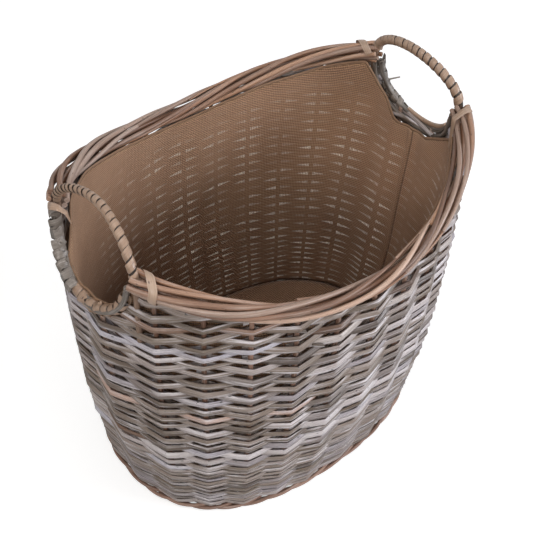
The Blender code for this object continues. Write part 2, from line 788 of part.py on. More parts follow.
def hole_route(end_arc):
    """Line of the rod under a hand hole, on the wall's middle surface."""
    points = []
    outs = []
    for turn in np.linspace(0, math.pi, ROUTE_SAMPLES):
        arc = end_arc - HOLE_HALF_ARC * math.cos(turn)
        angle = angle_at(arc)
        height = HOLE_TOP_HEIGHT - HOLE_DEPTH * math.sin(turn)
        points.append(wall_centre(angle, height))
        outs.append(outward(angle))
    return Route(points, outs)


def make_hand_hole(end_name, end_arc):
    """Rod along the hole's lower edge and the strip wound over it."""
    route = hole_route(end_arc)
    rings = []
    for distance in np.linspace(0, route.length, HOLE_STATIONS + 1):
        point, direction, out, up = route.frame(distance)
        rings.append(round_ring(point, out, up, HOLE_ROD_RADIUS, ROD_SIDES))
    sweep(f"hand_hole_rod_{end_name}", rings, GREY_SKEIN)
    winding(f"hand_hole_skein_{end_name}", route, (0, route.length), HOLE_TURNS, HOLE_ROD_RADIUS,
            (HOLE_STRIP_WIDTH, HOLE_STRIP_THICKNESS), TURN_POINTS, GREY_SKEIN)


def make_lashing(leg_name, arc):
    """Strip wound twice round the rim on the long side of a leg."""
    towards_side = 1 if leg_name in ("back_right", "front_left") else -1
    near = arc + towards_side * LASHING_FROM_LEG
    far = near + towards_side * LASHING_LENGTH
    route = rim_route(near, far)
    winding(f"lashing_{leg_name}", route, (0, route.length), LASHING_TURNS, RIM_OUTER_RADIUS,
            (LASHING_STRIP_WIDTH, LASHING_STRIP_THICKNESS), LASHING_TURN_POINTS, SKEIN_TAN)


def liner_top(arc):
    """Top edge of the cloth: under the rim, and just over the rod at a hand hole."""
    side_top = under_rim(arc, WALL_DROP)
    distance = from_nearest_end(arc)
    if distance >= HOLE_HALF_ARC:
        return side_top
    edge = hole_edge_height(distance, HOLE_HALF_ARC, HOLE_DEPTH)
    return min(side_top, edge + LINER_ABOVE_HOLE_EDGE)


def make_liner():
    """Cloth wall just inside the weave, and a cloth bottom on the base."""
    outer = INNER_FACE - LINER_SLACK
    inner = outer - CLOTH_THICKNESS
    floor = BASE_TOP + CLEARANCE
    heights = [steady(floor), steady(LOWER_SIDING_TOP), steady(MIDDLE_SIDING_TOP), liner_top]
    arcs = sorted({*oval_arcs(), *hole_top_arcs(LINER_HOLE_STATIONS)})
    profile = [(outer, height) for height in heights]
    profile += [(inner, height) for height in reversed(heights)]
    ring_piece("liner_wall", profile, arcs, HESSIAN, CLOTH_ROUGHNESS)
    edge = inner - CLEARANCE
    outline = [wall_centre(angle_at(arc), floor) + outward(angle_at(arc)) * edge
               for arc in oval_arcs()]
    rise = np.array([0, 0, CLOTH_THICKNESS])
    count = len(outline)
    faces = [(side, (side + 1) % count, (side + 1) % count + count, side + count)
             for side in range(count)]
    faces.append(tuple(range(count)))
    faces.append(tuple(range(count, 2 * count)))
    add_piece("liner_bottom", [*outline, *[point + rise for point in outline]], faces,
              HESSIAN, CLOTH_ROUGHNESS)


def clear_scene():
    """Start from an empty scene."""
    for item in list(bpy.data.objects):
        bpy.data.objects.remove(item, do_unlink=True)


def make_log_carrier():
    """Every piece, from the floor up."""
    clear_scene()
    make_foot_border()
    make_base()
    make_stakes()
    make_sidings()
    make_rim_side("back", LEG_ARC, HALF_ROUND - LEG_ARC)
    make_rim_side("front", HALF_ROUND + LEG_ARC, PERIMETER - LEG_ARC)
    make_handle("left")
    make_handle("right")
    make_hand_hole("right", 0)
    make_hand_hole("left", HALF_ROUND)
    for leg_name, arc in leg_arcs().items():
        make_lashing(leg_name, arc)
    make_liner()


make_log_carrier()
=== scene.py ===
"""Visual model of an oval log carrier: randed willow wall, twisted rim, wound handles and a cloth liner.

Laid out as an add-on and run as a script. Metres, +Z up, front at -Y, in the frame of the solid parts.
"""

import math

import bpy
import numpy as np
from mathutils import Matrix, Vector


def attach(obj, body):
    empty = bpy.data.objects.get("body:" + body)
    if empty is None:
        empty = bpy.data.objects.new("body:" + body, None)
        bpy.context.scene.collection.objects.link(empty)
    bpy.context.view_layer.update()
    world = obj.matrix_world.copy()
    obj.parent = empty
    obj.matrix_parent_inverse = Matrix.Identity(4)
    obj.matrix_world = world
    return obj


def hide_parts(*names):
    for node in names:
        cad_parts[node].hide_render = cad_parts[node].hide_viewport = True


bl_info = {
    "name": "Willow log carrier",
    "version": (1, 0, 0),
    "blender": (4, 5, 0),
    "location": "3D View > Sidebar > Log carrier",
    "description": "Dresses the solid parts of a log carrier in woven willow and hessian",
    "category": "Object",
}

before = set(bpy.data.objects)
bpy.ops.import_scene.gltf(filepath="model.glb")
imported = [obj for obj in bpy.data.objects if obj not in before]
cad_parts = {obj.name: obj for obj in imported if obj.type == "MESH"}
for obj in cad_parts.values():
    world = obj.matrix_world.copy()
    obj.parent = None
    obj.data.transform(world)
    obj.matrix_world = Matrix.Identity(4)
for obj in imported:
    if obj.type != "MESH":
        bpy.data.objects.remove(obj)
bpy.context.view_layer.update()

# The wall's middle surface, as in the solid parts
RIM_HALF_LENGTH = 0.2485
RIM_HALF_WIDTH = 0.1835
RIM_PLAN_POWER = 2.06
BASE_HALF_LENGTH = 0.2245
BASE_HALF_WIDTH = 0.1635
BASE_PLAN_POWER = 2.33
SIDE_RIM_HEIGHT = 0.380
END_RIM_HEIGHT = 0.447
SWOOP_POWER = 1.8
WALL_BULGE = 0.012
OVAL_SAMPLES = 2880
UP = (0.0, 0.0, 1.0)
DOWN = (0.0, 0.0, -1.0)

# Stakes and handle legs, measured round the rim from the middle of the right-hand end
SIDE_STAKE_COUNT = 11
END_STAKE_ARC = 0.0266
LEG_ARC = 0.0750
LEG_TO_STAKE = 0.0175
STAKE_BOTTOM = 0.009
STAKE_BUTT = 0.0070
STAKE_TIP = 0.0056
STAKE_POINTS = 22
STAKE_SIDES = 8
STAKE_SWAY = 0.0006
STAKE_SWAY_WAVES = 24
PHASE_SPREAD = 6

# The weave: where its rows lie, and how the rods pass the stakes
FINE_ROWS = 20
COARSE_ROWS = 41
MIDDLE_ROWS = 29
FINE_BOTTOM = 0.0100
FINE_TOP = 0.110
COARSE_TOP = 0.430
COARSE_PASS = 0.0064
FINE_PASS = 0.0050
PASS_BEND = 0.0013
ROD_TAIL = 0.009
RIM_TUCK = 0.006
EDGE_TAPER = 0.012
EDGE_CALM = 0.022
CALM_LEAST_SHARE = 0.42
ROW_BOW = 0.0010
BAY_STEP_SHARES = (0.0, 0.035, 0.10, 0.30, 0.50, 0.70, 0.90, 0.965)
ROD_BAY_SPLITS = ((8, 8, 10), (10, 8, 8), (12, 14), (6, 10, 10), (12, 8, 6), (8, 10, 8), (14, 12))
ROD_BUTT_SHARE = (1.02, 1.28)
ROD_TIP_SHARE = (0.62, 0.80)
ROD_TAPER_POWER = 1.3
ROD_TAIL_SHARE = 0.8
PASS_SPREAD = (0.93, 1.07)
EDGE_LEAST_SHARE = 0.15
EDGE_ROD_SHARE = 0.6
LEAST_RUN_POINTS = 3
FINE_TONE_SHARE = 0.72
WEAVE_SIDES = 8

# Cut ends of rods that stand out of the wall, by arc and height
CUT_ENDS = ((0.9251, 0.3619), (0.9475, 0.3295), (1.1300, 0.3450), (0.4100, 0.3520), (0.2600, 0.3380))
CUT_END_POINTS = 5
CUT_END_LENGTH = 0.010
CUT_END_RISE = 0.003
CUT_END_SET_IN = 0.0020
CUT_END_REACH = 0.0085
CUT_END_ROD = 0.0062
CUT_END_TONES = (0.05, 0.3)

# Hand holes: a half oval under each handle. Rods have a lift, a depth and a thickness. Strips have a span,
# the share of the core's thickness, turns, the share of the strip's width, and a finish.
HOLE_HALF_ARC = 0.0655
HOLE_DEPTH = 0.0660
HOLE_UNDER_RIM = 0.0080
HOLE_POINTS = 60
HOLE_SIDES = 10
HOLE_ROD_SPAN = (0.02, 0.98)
HOLE_ROD_TONES = (0.0, 0.35)
HOLE_SWAY = 0.0014
HOLE_SWAY_TURN = 7
HOLE_RODS = {
    "left": ((0.0, 0.000, 0.0072), (0.0010, 0.004, 0.0052)),
    "right": ((0.0, -0.001, 0.0064), (0.0020, 0.0045, 0.0052), (0.0075, -0.0055, 0.0054),
              (0.0085, 0.001, 0.0056)),
}
HOLE_STRIPS = {
    "left": (((0.10, 0.60), 1.04, 8.0, 1.0, "tan_skein"), ((0.58, 0.99), 1.10, 7.0, 0.95, "grey_skein")),
    "right": (((0.06, 0.16), 1.0, 1.5, 0.8, "tan_skein"), ((0.63, 0.995), 0.95, 7.0, 0.76, "grey_skein")),
}
HOLE_STRIP_POINTS = 90
HOLE_STRIP_LIFT = 0.001
HOLE_STRIP_TONE = 0.5
HOLE_WINDING = {"Points a turn": 16, "Core radius": 0.0056, "Flatness": 0.13, "Ridge place": 0.6,
                "Drift": 0.5, "Seed": 11}
STRIP_DEPTH = {"tan_skein": -0.0005, "grey_skein": 0.0025}
STRIP_FOLDS = {"tan_skein": {"Ridge height": 0.0012, "Unevenness": 0.0008},
               "grey_skein": {"Ridge height": 0.0034, "Unevenness": 0.0030}}
BROWN_ROD_SPAN = (0.22, 0.60)
BROWN_ROD_LIFT = -0.0035
BROWN_ROD_DEPTH = 0.0015
BROWN_ROD = (0.0074, 0.0050)
BROWN_ROD_POINTS = 40
BROWN_ROD_TONE = 0.55
TWIG_ARC = 0.058
TWIG_HEIGHT = 0.398
TWIG_REACH = 0.016
TWIG_LEAN = (0.004, -0.009, 0.002)
TWIG_ROD = (0.0028, 0.0018)
TWIG_POINTS = 8
TWIG_TONE = 0.7

# Rim: strands that end in the twist as new ones begin
RIM_RODS_A_SIDE = 4
RIM_STRANDS = 7
RIM_REACH_OUT = 0.0098
RIM_REACH_UP = 0.0086
RIM_STRAND = (0.0056, 0.0066)
RIM_HEART = 0.0080
RIM_TURNS = 1.15
RIM_OVERRUN = 0.0090
RIM_END_OVERRUN = 0.0050
RIM_POINTS = 170
RIM_ROUND = 0.0128
RIM_PHASE_WANDER = 0.20
RIM_REACH_WANDER = 0.0006
RIM_PHASE_WAVES = 4
RIM_REACH_WAVES = 5
RIM_STRAND_PHASE = 0.12
RIM_JOIN = (0.2, 0.8)
RIM_TIP_LOSS = 0.85
RIM_TIP_BEFORE_JOIN = 0.12
RIM_TIP_LENGTH = 0.18
RIM_TIP_PAST_JOIN = 0.06
RIM_BUTT_SHARE = 0.84
RIM_BUTT_LENGTH = 0.3
RIM_BUTT_BEFORE_JOIN = 0.03
RIM_BUTT_TURN = 0.32
RIM_BUTT_REACH = 0.97
RIM_END_SPREAD = 0.014
RIM_HEART_INSET = 9
# The heart strand's low tone is painted shade, seen in the gaps between the strands
RIM_HEART_SHADE_TONE = -0.6
RIM_ROD_SIDES = 10
RIM_FLATNESS = 0.93
LEG_CLEAR = 0.0068
LEG_CLEAR_LENGTH = 0.012

# Handles. Their tones are those of the arch, the front leg and the back leg; the arch's low tone is painted
# shade, seen between the skein's turns.
BOW_RISE = 0.045
BOW_LEAN = 0.0097
BOW_ARCH_POWER = 1.85
BOW_POINTS = 72
BOW_SIDES = 12
BOW_RADII = {"left": 0.0046, "right": 0.0056}
BOW_UNDER_SKEIN = 0.0012
BOW_TONES = (-0.6, 0.6, 0.5)
BOW_WOUND_SPAN = (0.035, 0.968)
BOW_WOUND_POINTS = 180
BOW_SKEIN_TONE = 0.55
BOW_WINDING = {"Points a turn": 18, "Flatness": 0.15, "Ridge height": 0.0009, "Ridge place": 0.9,
               "Crowding": 0.30, "Unevenness": 0.0004, "Drift": 0.3, "Seed": 3}
LEG_FOOT = 0.350
LEG_BELOW_BOW = 0.004
LEG_SET_IN = 0.0015
LEG_ROD = 0.0068
LEG_POINTS = 9
LEG_BARE_POINTS = 12

# Lashings: rings round the rim, and two strips laid slanting over crossed corners. A strip's rows are the
# arcs from the middle of its end, the heights above the rim and the depths past the wall.
LASHING_DEGREES = (-130, 40, 165)
LASHING_SHIFTS = (0.027, 0.0215, 0.004)
LASHING_POINTS = 30
LASHING_CLEAR = 0.0008
LASHING_TONE = 0.8
STRIP_WIDTH = 0.0088
STRIP_FLATNESS = 0.15
STRIP_SIDES = 8
STRIP_TONE = 0.6
STRIP_POINTS = 24
STRIP_MARKS = (0, 0.25, 0.45, 0.65, 1)
STRIP_TURN_MARKS = (0, 0.45, 1)
STRIP_LEAN = (0.2, 1.57, 2.9)
CORNER_STRIPS = {
    ("left", "back"): ((0.0640, 0.0520, 0.0430), (0.0010, 0.0060, 0.0060, -0.0010, -0.0120),
                       (0.0100, 0.0075, 0.0010, -0.0065, -0.0095)),
    ("right", "front"): ((0.0770, 0.0950, 0.1100), (-0.0020, 0.0095, 0.0140, 0.0085, -0.0240),
                         (0.0130, 0.0100, 0.0, -0.0120, -0.0155)),
}

# Foot and base. The cross sticks lie at these distances from the middle on both sides, the long ones too.
FOOT_STRANDS = 5
FOOT_TURNS = 7
FOOT_POINTS = 300
FOOT_SIDES = 8
FOOT_DEPTH = -0.0045
FOOT_HEIGHT = 0.0054
FOOT_REACH_OUT = 0.0078
FOOT_REACH_UP = 0.0027
FOOT_STRAND = 0.0049
FOOT_INNER_HEIGHT = 0.0105
FOOT_INNER_DEPTH = -0.0085
FOOT_INNER_ROD = 0.0082
FOOT_INNER_TONE = 0.2
BASE_CROSS_STICKS = (0.0475, 0.1425)
BASE_LONG_STICKS = (0.0, 0.05)
BASE_PITCH = 0.0056
BASE_SET_IN = 0.008
BASE_POINTS = 181
BASE_MARK_DIGITS = 5
BASE_HEIGHT = 0.0140
BASE_PASS = 0.0030
BASE_ROD = 0.0050
BASE_SIDES = 6
BASE_MIDDLE_ROD = 0.0060
BASE_MIDDLE_POINTS = 20
BASE_MIDDLE_TONE = 0.4

# Seeds of what varies from rod to rod
SEEDS = {"cut_ends": 6, "stakes": 5, "back_rim": 21, "front_rim": 34, "left_hole": 8, "right_hole": 9,
         "foot": 77, "base": 78}

# Liner. Its waves have a size, a rate along the wall, a rate upwards and a start.
LINER_COLUMNS = 280
LINER_ROWS = 56
LINER_SET_IN = 0.0130
LINER_WAVES = ((0.0011, 47, 3, 0), (0.0008, 83, -5, 1), (0.0016, 13, 9, 0))
LINER_WAVE_LIMIT = 0.0012
LINER_WAVE_SHARE = 0.8
LINER_FLOOR = 0.0200
CLOTH_THICKNESS = 0.0012
LINER_RIM_TUCK = 0.0085
LINER_EDGE = {
    "left": ((-0.075, 0.4270), (-0.066, 0.4080), (-0.055, 0.3880), (-0.030, 0.3725), (0.0, 0.3685),
             (0.030, 0.3710), (0.050, 0.3840), (0.063, 0.4100), (0.075, 0.4270)),
    "right": ((-0.110, 0.4180), (-0.090, 0.4020), (-0.063, 0.3830), (-0.032, 0.3640), (-0.005, 0.3592),
              (0.018, 0.3580), (0.027, 0.3630), (0.032, 0.3710), (0.042, 0.3855), (0.060, 0.3996),
              (0.083, 0.4280)),
}
NO_CUT_HEIGHT = 1.0
HOLE_SHARE_RISE = 1.3
LINER_LEAN_OUT = {"left": 0.0090, "right": 0.0}
LINER_LEAN_HEIGHT = 0.030
LINER_BULGE = 0.0060
LINER_BULGE_PLACE = 0.046
LINER_BULGE_LENGTH = 0.018
SEAM_SHARES = (-0.0035, 0.5)
SEAM_STEPS = (-0.004, -0.002, -0.0008, 0, 0.0008, 0.002, 0.004)
SEAM_LENGTH = 0.0013
SEAM_CREASES = ((0.0026, 0.0012), (-0.0022, 0.006))
SEAM_FOLD = 0.0050
SEAM_FOLD_PLACE = 0.034
SEAM_FOLD_LENGTH = 0.022
CLOTH_AREA_SHARE = 0.93
HEM_POINTS = 420
HEM_ROD = 0.0042
HEM_FLATNESS = 0.6
HEM_SIDES = 8
HEM_TONE = 0.5
FLOOR_RINGS = 26
FLOOR_SIDES = 96
FLOOR_LIFT = 0.001
FLOOR_WAVE = 0.0012
FLOOR_WAVES = (60, 70)

# Colours
COLOURS = {
    "wall_rods": (0.262, 0.214, 0.188),
    "brown_rods": (0.285, 0.165, 0.118),
    "rim_rods": (0.430, 0.285, 0.215),
    "skein": (0.340, 0.222, 0.152),
    "cloth": (0.350, 0.190, 0.104),
    "floor": (0.60, 0.60, 0.60),
}

# Finishes of the willow and of the cloth's hem: colour stops, and tints that whole rods get by lot
WILLOWS = {
    "washed_willow": {
        "set_by": "wall_rods",
        "stops": ((0.0, (0.096, 0.069, 0.052)), (0.25, (0.190, 0.149, 0.117)), (0.5, COLOURS["wall_rods"]),
                  (0.75, (0.350, 0.304, 0.293)), (1.0, (0.580, 0.545, 0.555))),
        "speck": (0.04, 0.035, 0.035), "roughness": 0.40, "wash": 0.9, "wash_colour": (0.66, 0.615, 0.630),
        "tints": ((0.0, (1.0, 0.97, 0.95)), (0.50, (0.88, 0.89, 0.97)), (0.74, (0.82, 0.76, 0.69)),
                  (0.92, (0.60, 0.56, 0.54)), (0.98, (0.95, 0.70, 0.56))),
    },
    "brown_willow": {
        "set_by": "brown_rods",
        "stops": ((0.0, (0.150, 0.078, 0.050)), (0.5, COLOURS["brown_rods"]), (1.0, (0.400, 0.265, 0.205))),
        "speck": (0.06, 0.035, 0.025), "roughness": 0.6, "wash": 0.25, "wash_colour": (0.7, 0.66, 0.63),
    },
    "rim_willow": {
        "set_by": "rim_rods",
        "stops": ((0.0, (0.185, 0.105, 0.072)), (0.3, (0.325, 0.200, 0.142)), (0.65, COLOURS["rim_rods"]),
                  (1.0, (0.540, 0.400, 0.330))),
        "speck": (0.09, 0.05, 0.035), "roughness": 0.42, "wash": 0.25, "wash_colour": (0.62, 0.52, 0.46),
        "tints": ((0.0, (1.0, 0.93, 0.86)), (0.42, (0.78, 0.80, 0.82)), (0.60, (1.0, 0.86, 0.72)),
                  (0.84, (0.66, 0.60, 0.56))),
    },
    "tan_skein": {
        "set_by": "skein",
        "stops": ((0.0, (0.225, 0.140, 0.095)), (0.4, COLOURS["skein"]), (0.75, (0.430, 0.296, 0.212)),
                  (1.0, (0.520, 0.395, 0.310))),
        "speck": (0.12, 0.07, 0.05), "roughness": 0.30, "wash": 0.15, "wash_colour": (0.60, 0.50, 0.43),
    },
    "grey_skein": {
        "stops": ((0.0, (0.062, 0.050, 0.042)), (0.4, (0.165, 0.138, 0.116)), (0.75, (0.260, 0.226, 0.200)),
                  (1.0, (0.440, 0.400, 0.375))),
        "speck": (0.05, 0.04, 0.035), "roughness": 0.36, "wash": 0.35, "wash_colour": (0.55, 0.50, 0.46),
    },
    # Low stops: painted shade on the rod under a handle's skein, seen in the gaps between turns
    "bow_rod": {
        "stops": ((0.0, (0.030, 0.019, 0.014)), (0.35, (0.110, 0.066, 0.044)), (1.0, (0.360, 0.235, 0.165))),
        "speck": (0.03, 0.02, 0.015), "roughness": 0.55, "wash": 0.1, "wash_colour": (0.40, 0.30, 0.24),
    },
    "hem_cloth": {
        "stops": ((0.0, (0.150, 0.084, 0.048)), (0.5, (0.255, 0.152, 0.092)), (1.0, (0.370, 0.245, 0.165))),
        "speck": (0.12, 0.07, 0.04), "roughness": 0.95,
    },
}

# Sockets of a colour mix
FIRST_COLOUR = 6
SECOND_COLOUR = 7

# How finely a pattern is broken up
ROUGHLY = 1.0
SOFTLY = 2.0
CLEARLY = 3.0
FINELY = 4.0
PATTERN_ROUGHNESS = 0.55

# Grain of the willow: scales along and round a rod, and how strongly each shows
STREAK_GRAIN = (14.0, 2.6)
PATCH_GRAIN = (11.0, 0.25)
PATCH_WEIGHT = 0.8
TINT_LOTS = 57.3
WASH_GRAIN = (17.0, 0.6)
WASH_LEVEL = 0.52
WASH_CONTRAST = 7.0
KNOT_GRAIN = (150.0, 1.3)
KNOT_SPAN = (0.70, 0.76, 0.0, 1.0)
FINE_GRAIN = (60.0, 3.5)
GRAIN_BUMP = 0.35
GRAIN_RELIEF = 0.0006
GRAIN_OFFSETS = (31.0, 17.0)
GRAIN_SHIFT = 7
STICK_GRAIN = 160.0
STICK_STOPS = ((0.3, (0.20, 0.125, 0.080)), (0.7, (0.42, 0.29, 0.20)))
STICK_ROUGHNESS = 0.65
STICK_BUMP = 0.3
STICK_RELIEF = 0.0005
SHARP_DEGREES = 65

# Windings: waves of their drift and unevenness, and how their strips vary
DRIFT_SCALE = 23.0
UNEVEN_SCALE = 0.9
RIDGE_POWER = 6.0
WIDTH_SPREAD = 0.05
LEAST_WIDTH = 0.96

# Cloth: crossing threads, painted light along the hand holes' edges, and painted shade along the seams and
# towards the bottom
CLOTH_ROUGHNESS = 0.95
CLOTH_SHEEN = 0.10
WEFT_PITCH = 0.0029
WARP_PITCH = 0.0025
WEFT_WEIGHT = 0.84
WARP_WEIGHT = 0.36
SLUB_SCALE = 90.0
SLUB_BEND = 0.0013
TINT_SCALE = 12.0
TINT_WEIGHT = 0.40
THREAD_WEIGHT = 0.68
CLOTH_STOPS = ((0.28, (0.090, 0.045, 0.023)), (0.62, COLOURS["cloth"]), (0.92, (0.570, 0.346, 0.211)))
CLOTH_BUMP = 0.8
CLOTH_RELIEF = 0.0014
# Painted shade: its colour, and how strongly the cloth is darkened towards the bottom
PAINTED_SHADE_COLOUR = (0.050, 0.028, 0.016)
DEEP_PAINTED_SHADE = 0.42
DEEP_PAINTED_SHADE_SPAN = (0.09, 0.27, 0.0, DEEP_PAINTED_SHADE)
# Painted light: a paler band along the cloth's top edge in the hand holes, where it leans out into the light
EDGE_LIGHT_STRENGTH = 0.55
EDGE_LIGHT_COLOUR = (0.56, 0.37, 0.235)
EDGE_LIGHT_DEPTH = 0.011
# Painted shade in the crease along each seam
SEAM_PAINTED_SHADE = 0.65

# Pale flecks on the cloth, where light comes between the rods: spans run from two values to two shares
FLECK_COLOUR = (0.95, 0.90, 0.80)
FLECK_GLOW_COLOUR = (1.0, 0.93, 0.80)
FLECK_GLOW = 0.20
FLECK_SLOPE = 0.42
FLECK_EDGE_SPAN = (-0.01, 0.03, 0.0, 1.0)
FLECK_CLEAR = 0.07
FLECK_LOT_POWER = 0.6
FLECK_LOT_WEIGHT = 0.9
FLECK_LEAST = 0.15
FLECK_PATCH_SCALE = 0.55
FLECK_PATCH_SPAN = (0.34, 0.52, 0.25, 1.0)
FLECK_LOW_SPAN = (9.0, 19.0, 1.0, 0.40)
FLECK_TICK_SPAN = (0.30, 0.70, 0.12, 1.0)
FLECK_LEFT_SPAN = (2.5, 6.0, 0.03, 1.0)
FLECK_TOP_SPAN = (0.008, 0.060, 0.0, 1.0)
FLECK_BROKEN_SCALE = 13.0
FLECK_BROKEN_ROUGHNESS = 0.8
FLECK_BROKEN_SPAN = (0.42, 0.56, 0.15, 1.0)
FLECK_SEAM_STAKES = (1.6, 1.2)
FLECK_SEAM_SHARES = (1.0, 0.35)

# Stage. Each lamp has its power setting, its place, its size and its colour.
LAMPS = {
    "key_lamp": ("key_power", (1.90, -2.10, 1.35), 1.1, (0.91, 0.94, 1.0)),
    "fill_lamp": ("fill_power", (-1.70, -1.50, 1.70), 1.3, (1.0, 0.965, 0.93)),
    "top_lamp": ("top_power", (-0.50, 0.0, 2.60), 1.6, (1.0, 0.98, 0.96)),
}
LAMP_AIM = (0.0, 0.0, 0.2)
STAGE_HALF = 6.0
STAGE_ROUGHNESS = 0.9
STAGE_GLOW_SPAN = (0.7, 2.6, 0.63, 0.97)
WHITE = (1.0, 1.0, 1.0, 1.0)

# Camera: found from the places of the rim, stakes, handles and foot in the photograph
CAMERA_PLACE = (-0.543752, -0.622021, 1.125563)
CAMERA_RIGHT = (0.7732977, -0.63292435, 0.03764883)
CAMERA_UP = (0.44266173, 0.58144275, 0.68262356)
CAMERA_LENS = 63.577
CAMERA_SENSOR = 36.0


def oval(angle, half_length, half_width, power):
    """Points of a squared-off oval at angles from +X."""
    along, across = np.cos(angle), np.sin(angle)
    return np.stack([
        half_length * np.sign(along) * np.abs(along) ** (2 / power),
        half_width * np.sign(across) * np.abs(across) ** (2 / power),
    ], axis=-1)


def measure_rim():
    """Angles and the distances round the rim that they stand for."""
    angles = np.linspace(0, 2 * math.pi, OVAL_SAMPLES + 1)
    points = oval(angles, RIM_HALF_LENGTH, RIM_HALF_WIDTH, RIM_PLAN_POWER)
    steps = np.linalg.norm(np.diff(points, axis=0), axis=1)
    return angles, np.concatenate([[0], np.cumsum(steps)])


RIM_ANGLES, RIM_ARCS = measure_rim()
PERIMETER = float(RIM_ARCS[-1])
HALF_ROUND = PERIMETER / 2


def angle_at(arc):
    """Angle of the place that lies this far round the rim from the +X end."""
    return np.interp(np.mod(arc, PERIMETER), RIM_ARCS, RIM_ANGLES)


def outward(arc):
    """Level unit vectors that point out of the wall."""
    halves = np.array([RIM_HALF_LENGTH, RIM_HALF_WIDTH])
    share = oval(angle_at(arc), RIM_HALF_LENGTH, RIM_HALF_WIDTH, RIM_PLAN_POWER) / halves
    slope = np.sign(share) * np.abs(share) ** (RIM_PLAN_POWER - 1) / halves
    level = np.concatenate([slope, np.zeros_like(slope[..., :1])], axis=-1)
    return level / np.linalg.norm(level, axis=-1, keepdims=True)


def rim_height(arc):
    """Height of the rim's centre, low on the long sides and high at the ends."""
    along = oval(angle_at(arc), RIM_HALF_LENGTH, RIM_HALF_WIDTH, RIM_PLAN_POWER)[..., 0]
    share = np.abs(along / RIM_HALF_LENGTH) ** SWOOP_POWER
    return SIDE_RIM_HEIGHT + (END_RIM_HEIGHT - SIDE_RIM_HEIGHT) * share


def wall_point(arc, height, depth):
    """Points on the wall at a depth outwards from its middle surface."""
    arc, height, depth = np.broadcast_arrays(arc, height, depth)
    angle = angle_at(arc)
    share = (height / rim_height(arc))[..., None]
    low = oval(angle, BASE_HALF_LENGTH, BASE_HALF_WIDTH, BASE_PLAN_POWER)
    high = oval(angle, RIM_HALF_LENGTH, RIM_HALF_WIDTH, RIM_PLAN_POWER)
    bulge = WALL_BULGE * 4 * share * (1 - share)
    plan = low * (1 - share) + high * share + outward(arc)[..., :2] * (bulge + depth[..., None])
    return np.concatenate([plan, height[..., None]], axis=-1)


def from_nearest_end(arc):
    """Distance round the rim to the middle of the nearer end."""
    along = np.mod(arc, HALF_ROUND)
    return np.minimum(along, HALF_ROUND - along)


HOLE_TOP_HEIGHT = float(rim_height(LEG_ARC)) - HOLE_UNDER_RIM


def hole_edge(distance):
    """Height of a hand hole's lower edge at a distance from its middle."""
    share = np.minimum(distance / HOLE_HALF_ARC, 1)
    return HOLE_TOP_HEIGHT - HOLE_DEPTH * np.sqrt(1 - share * share)


def weave_top(arc):
    """Height up to which the wall is woven."""
    under_rim = rim_height(arc) - RIM_TUCK
    distance = from_nearest_end(arc)
    return np.where(distance < HOLE_HALF_ARC, np.minimum(under_rim, hole_edge(distance)), under_rim)


def stake_arcs():
    """Where the stakes stand round the rim, two at each end and the rest on the sides."""
    first = LEG_ARC + LEG_TO_STAKE
    side = np.linspace(first, HALF_ROUND - first, SIDE_STAKE_COUNT)
    half = [END_STAKE_ARC, *side, HALF_ROUND - END_STAKE_ARC]
    return np.array([*half, *[HALF_ROUND + arc for arc in half]])


STAKES = stake_arcs()


def add_node(tree, kind, inputs=None, **settings):
    """Add a node, set its options, and fill its sockets with values or links."""
    node = tree.nodes.new(kind)
    for key, value in settings.items():
        setattr(node, key, value)
    for key, value in (inputs or {}).items():
        if isinstance(value, bpy.types.NodeSocket):
            tree.links.new(value, node.inputs[key])
        else:
            node.inputs[key].default_value = value
    return node


def calculate(tree, operation, *values):
    """Result of a Math node."""
    return add_node(tree, "ShaderNodeMath", dict(enumerate(values)), operation=operation).outputs[0]


def product(tree, first, *others):
    """Product of several values."""
    for value in others:
        first = calculate(tree, "MULTIPLY", first, value)
    return first


def ranged(tree, value, span):
    """A value carried over from a span's first two numbers to its last two."""
    low, high, start, end = span
    return add_node(tree, "ShaderNodeMapRange", {
        "Value": value, "From Min": low, "From Max": high, "To Min": start, "To Max": end}).outputs[0]


def vector_sum(tree, first, second):
    """Sum of two vectors."""
    return add_node(tree, "ShaderNodeVectorMath", {0: first, 1: second}, operation="ADD").outputs[0]


def vector_times(tree, vector, amount):
    """A vector scaled by a number."""
    node = add_node(tree, "ShaderNodeVectorMath", {0: vector, "Scale": amount}, operation="SCALE")
    return node.outputs[0]


def tree_input(tree, name, kind, default=None):
    """Named input of a node group."""
    socket = tree.interface.new_socket(name, in_out="INPUT", socket_type=kind)
    if default is not None:
        socket.default_value = default
    return socket


def new_geometry_tree(name, inputs):
    """Node group with a geometry input and output, and named inputs for its sizes."""
    tree = bpy.data.node_groups.new(name, "GeometryNodeTree")
    tree_input(tree, "Guides", "NodeSocketGeometry")
    for label, kind, default in inputs:
        tree_input(tree, label, kind, default)
    tree.interface.new_socket("Geometry", in_out="OUTPUT", socket_type="NodeSocketGeometry")
    return tree, tree.nodes.new("NodeGroupInput").outputs


def stored(tree, name, kind="FLOAT"):
    """Value that a guide carries."""
    return add_node(tree, "GeometryNodeInputNamedAttribute", {"Name": name}, data_type=kind).outputs[0]


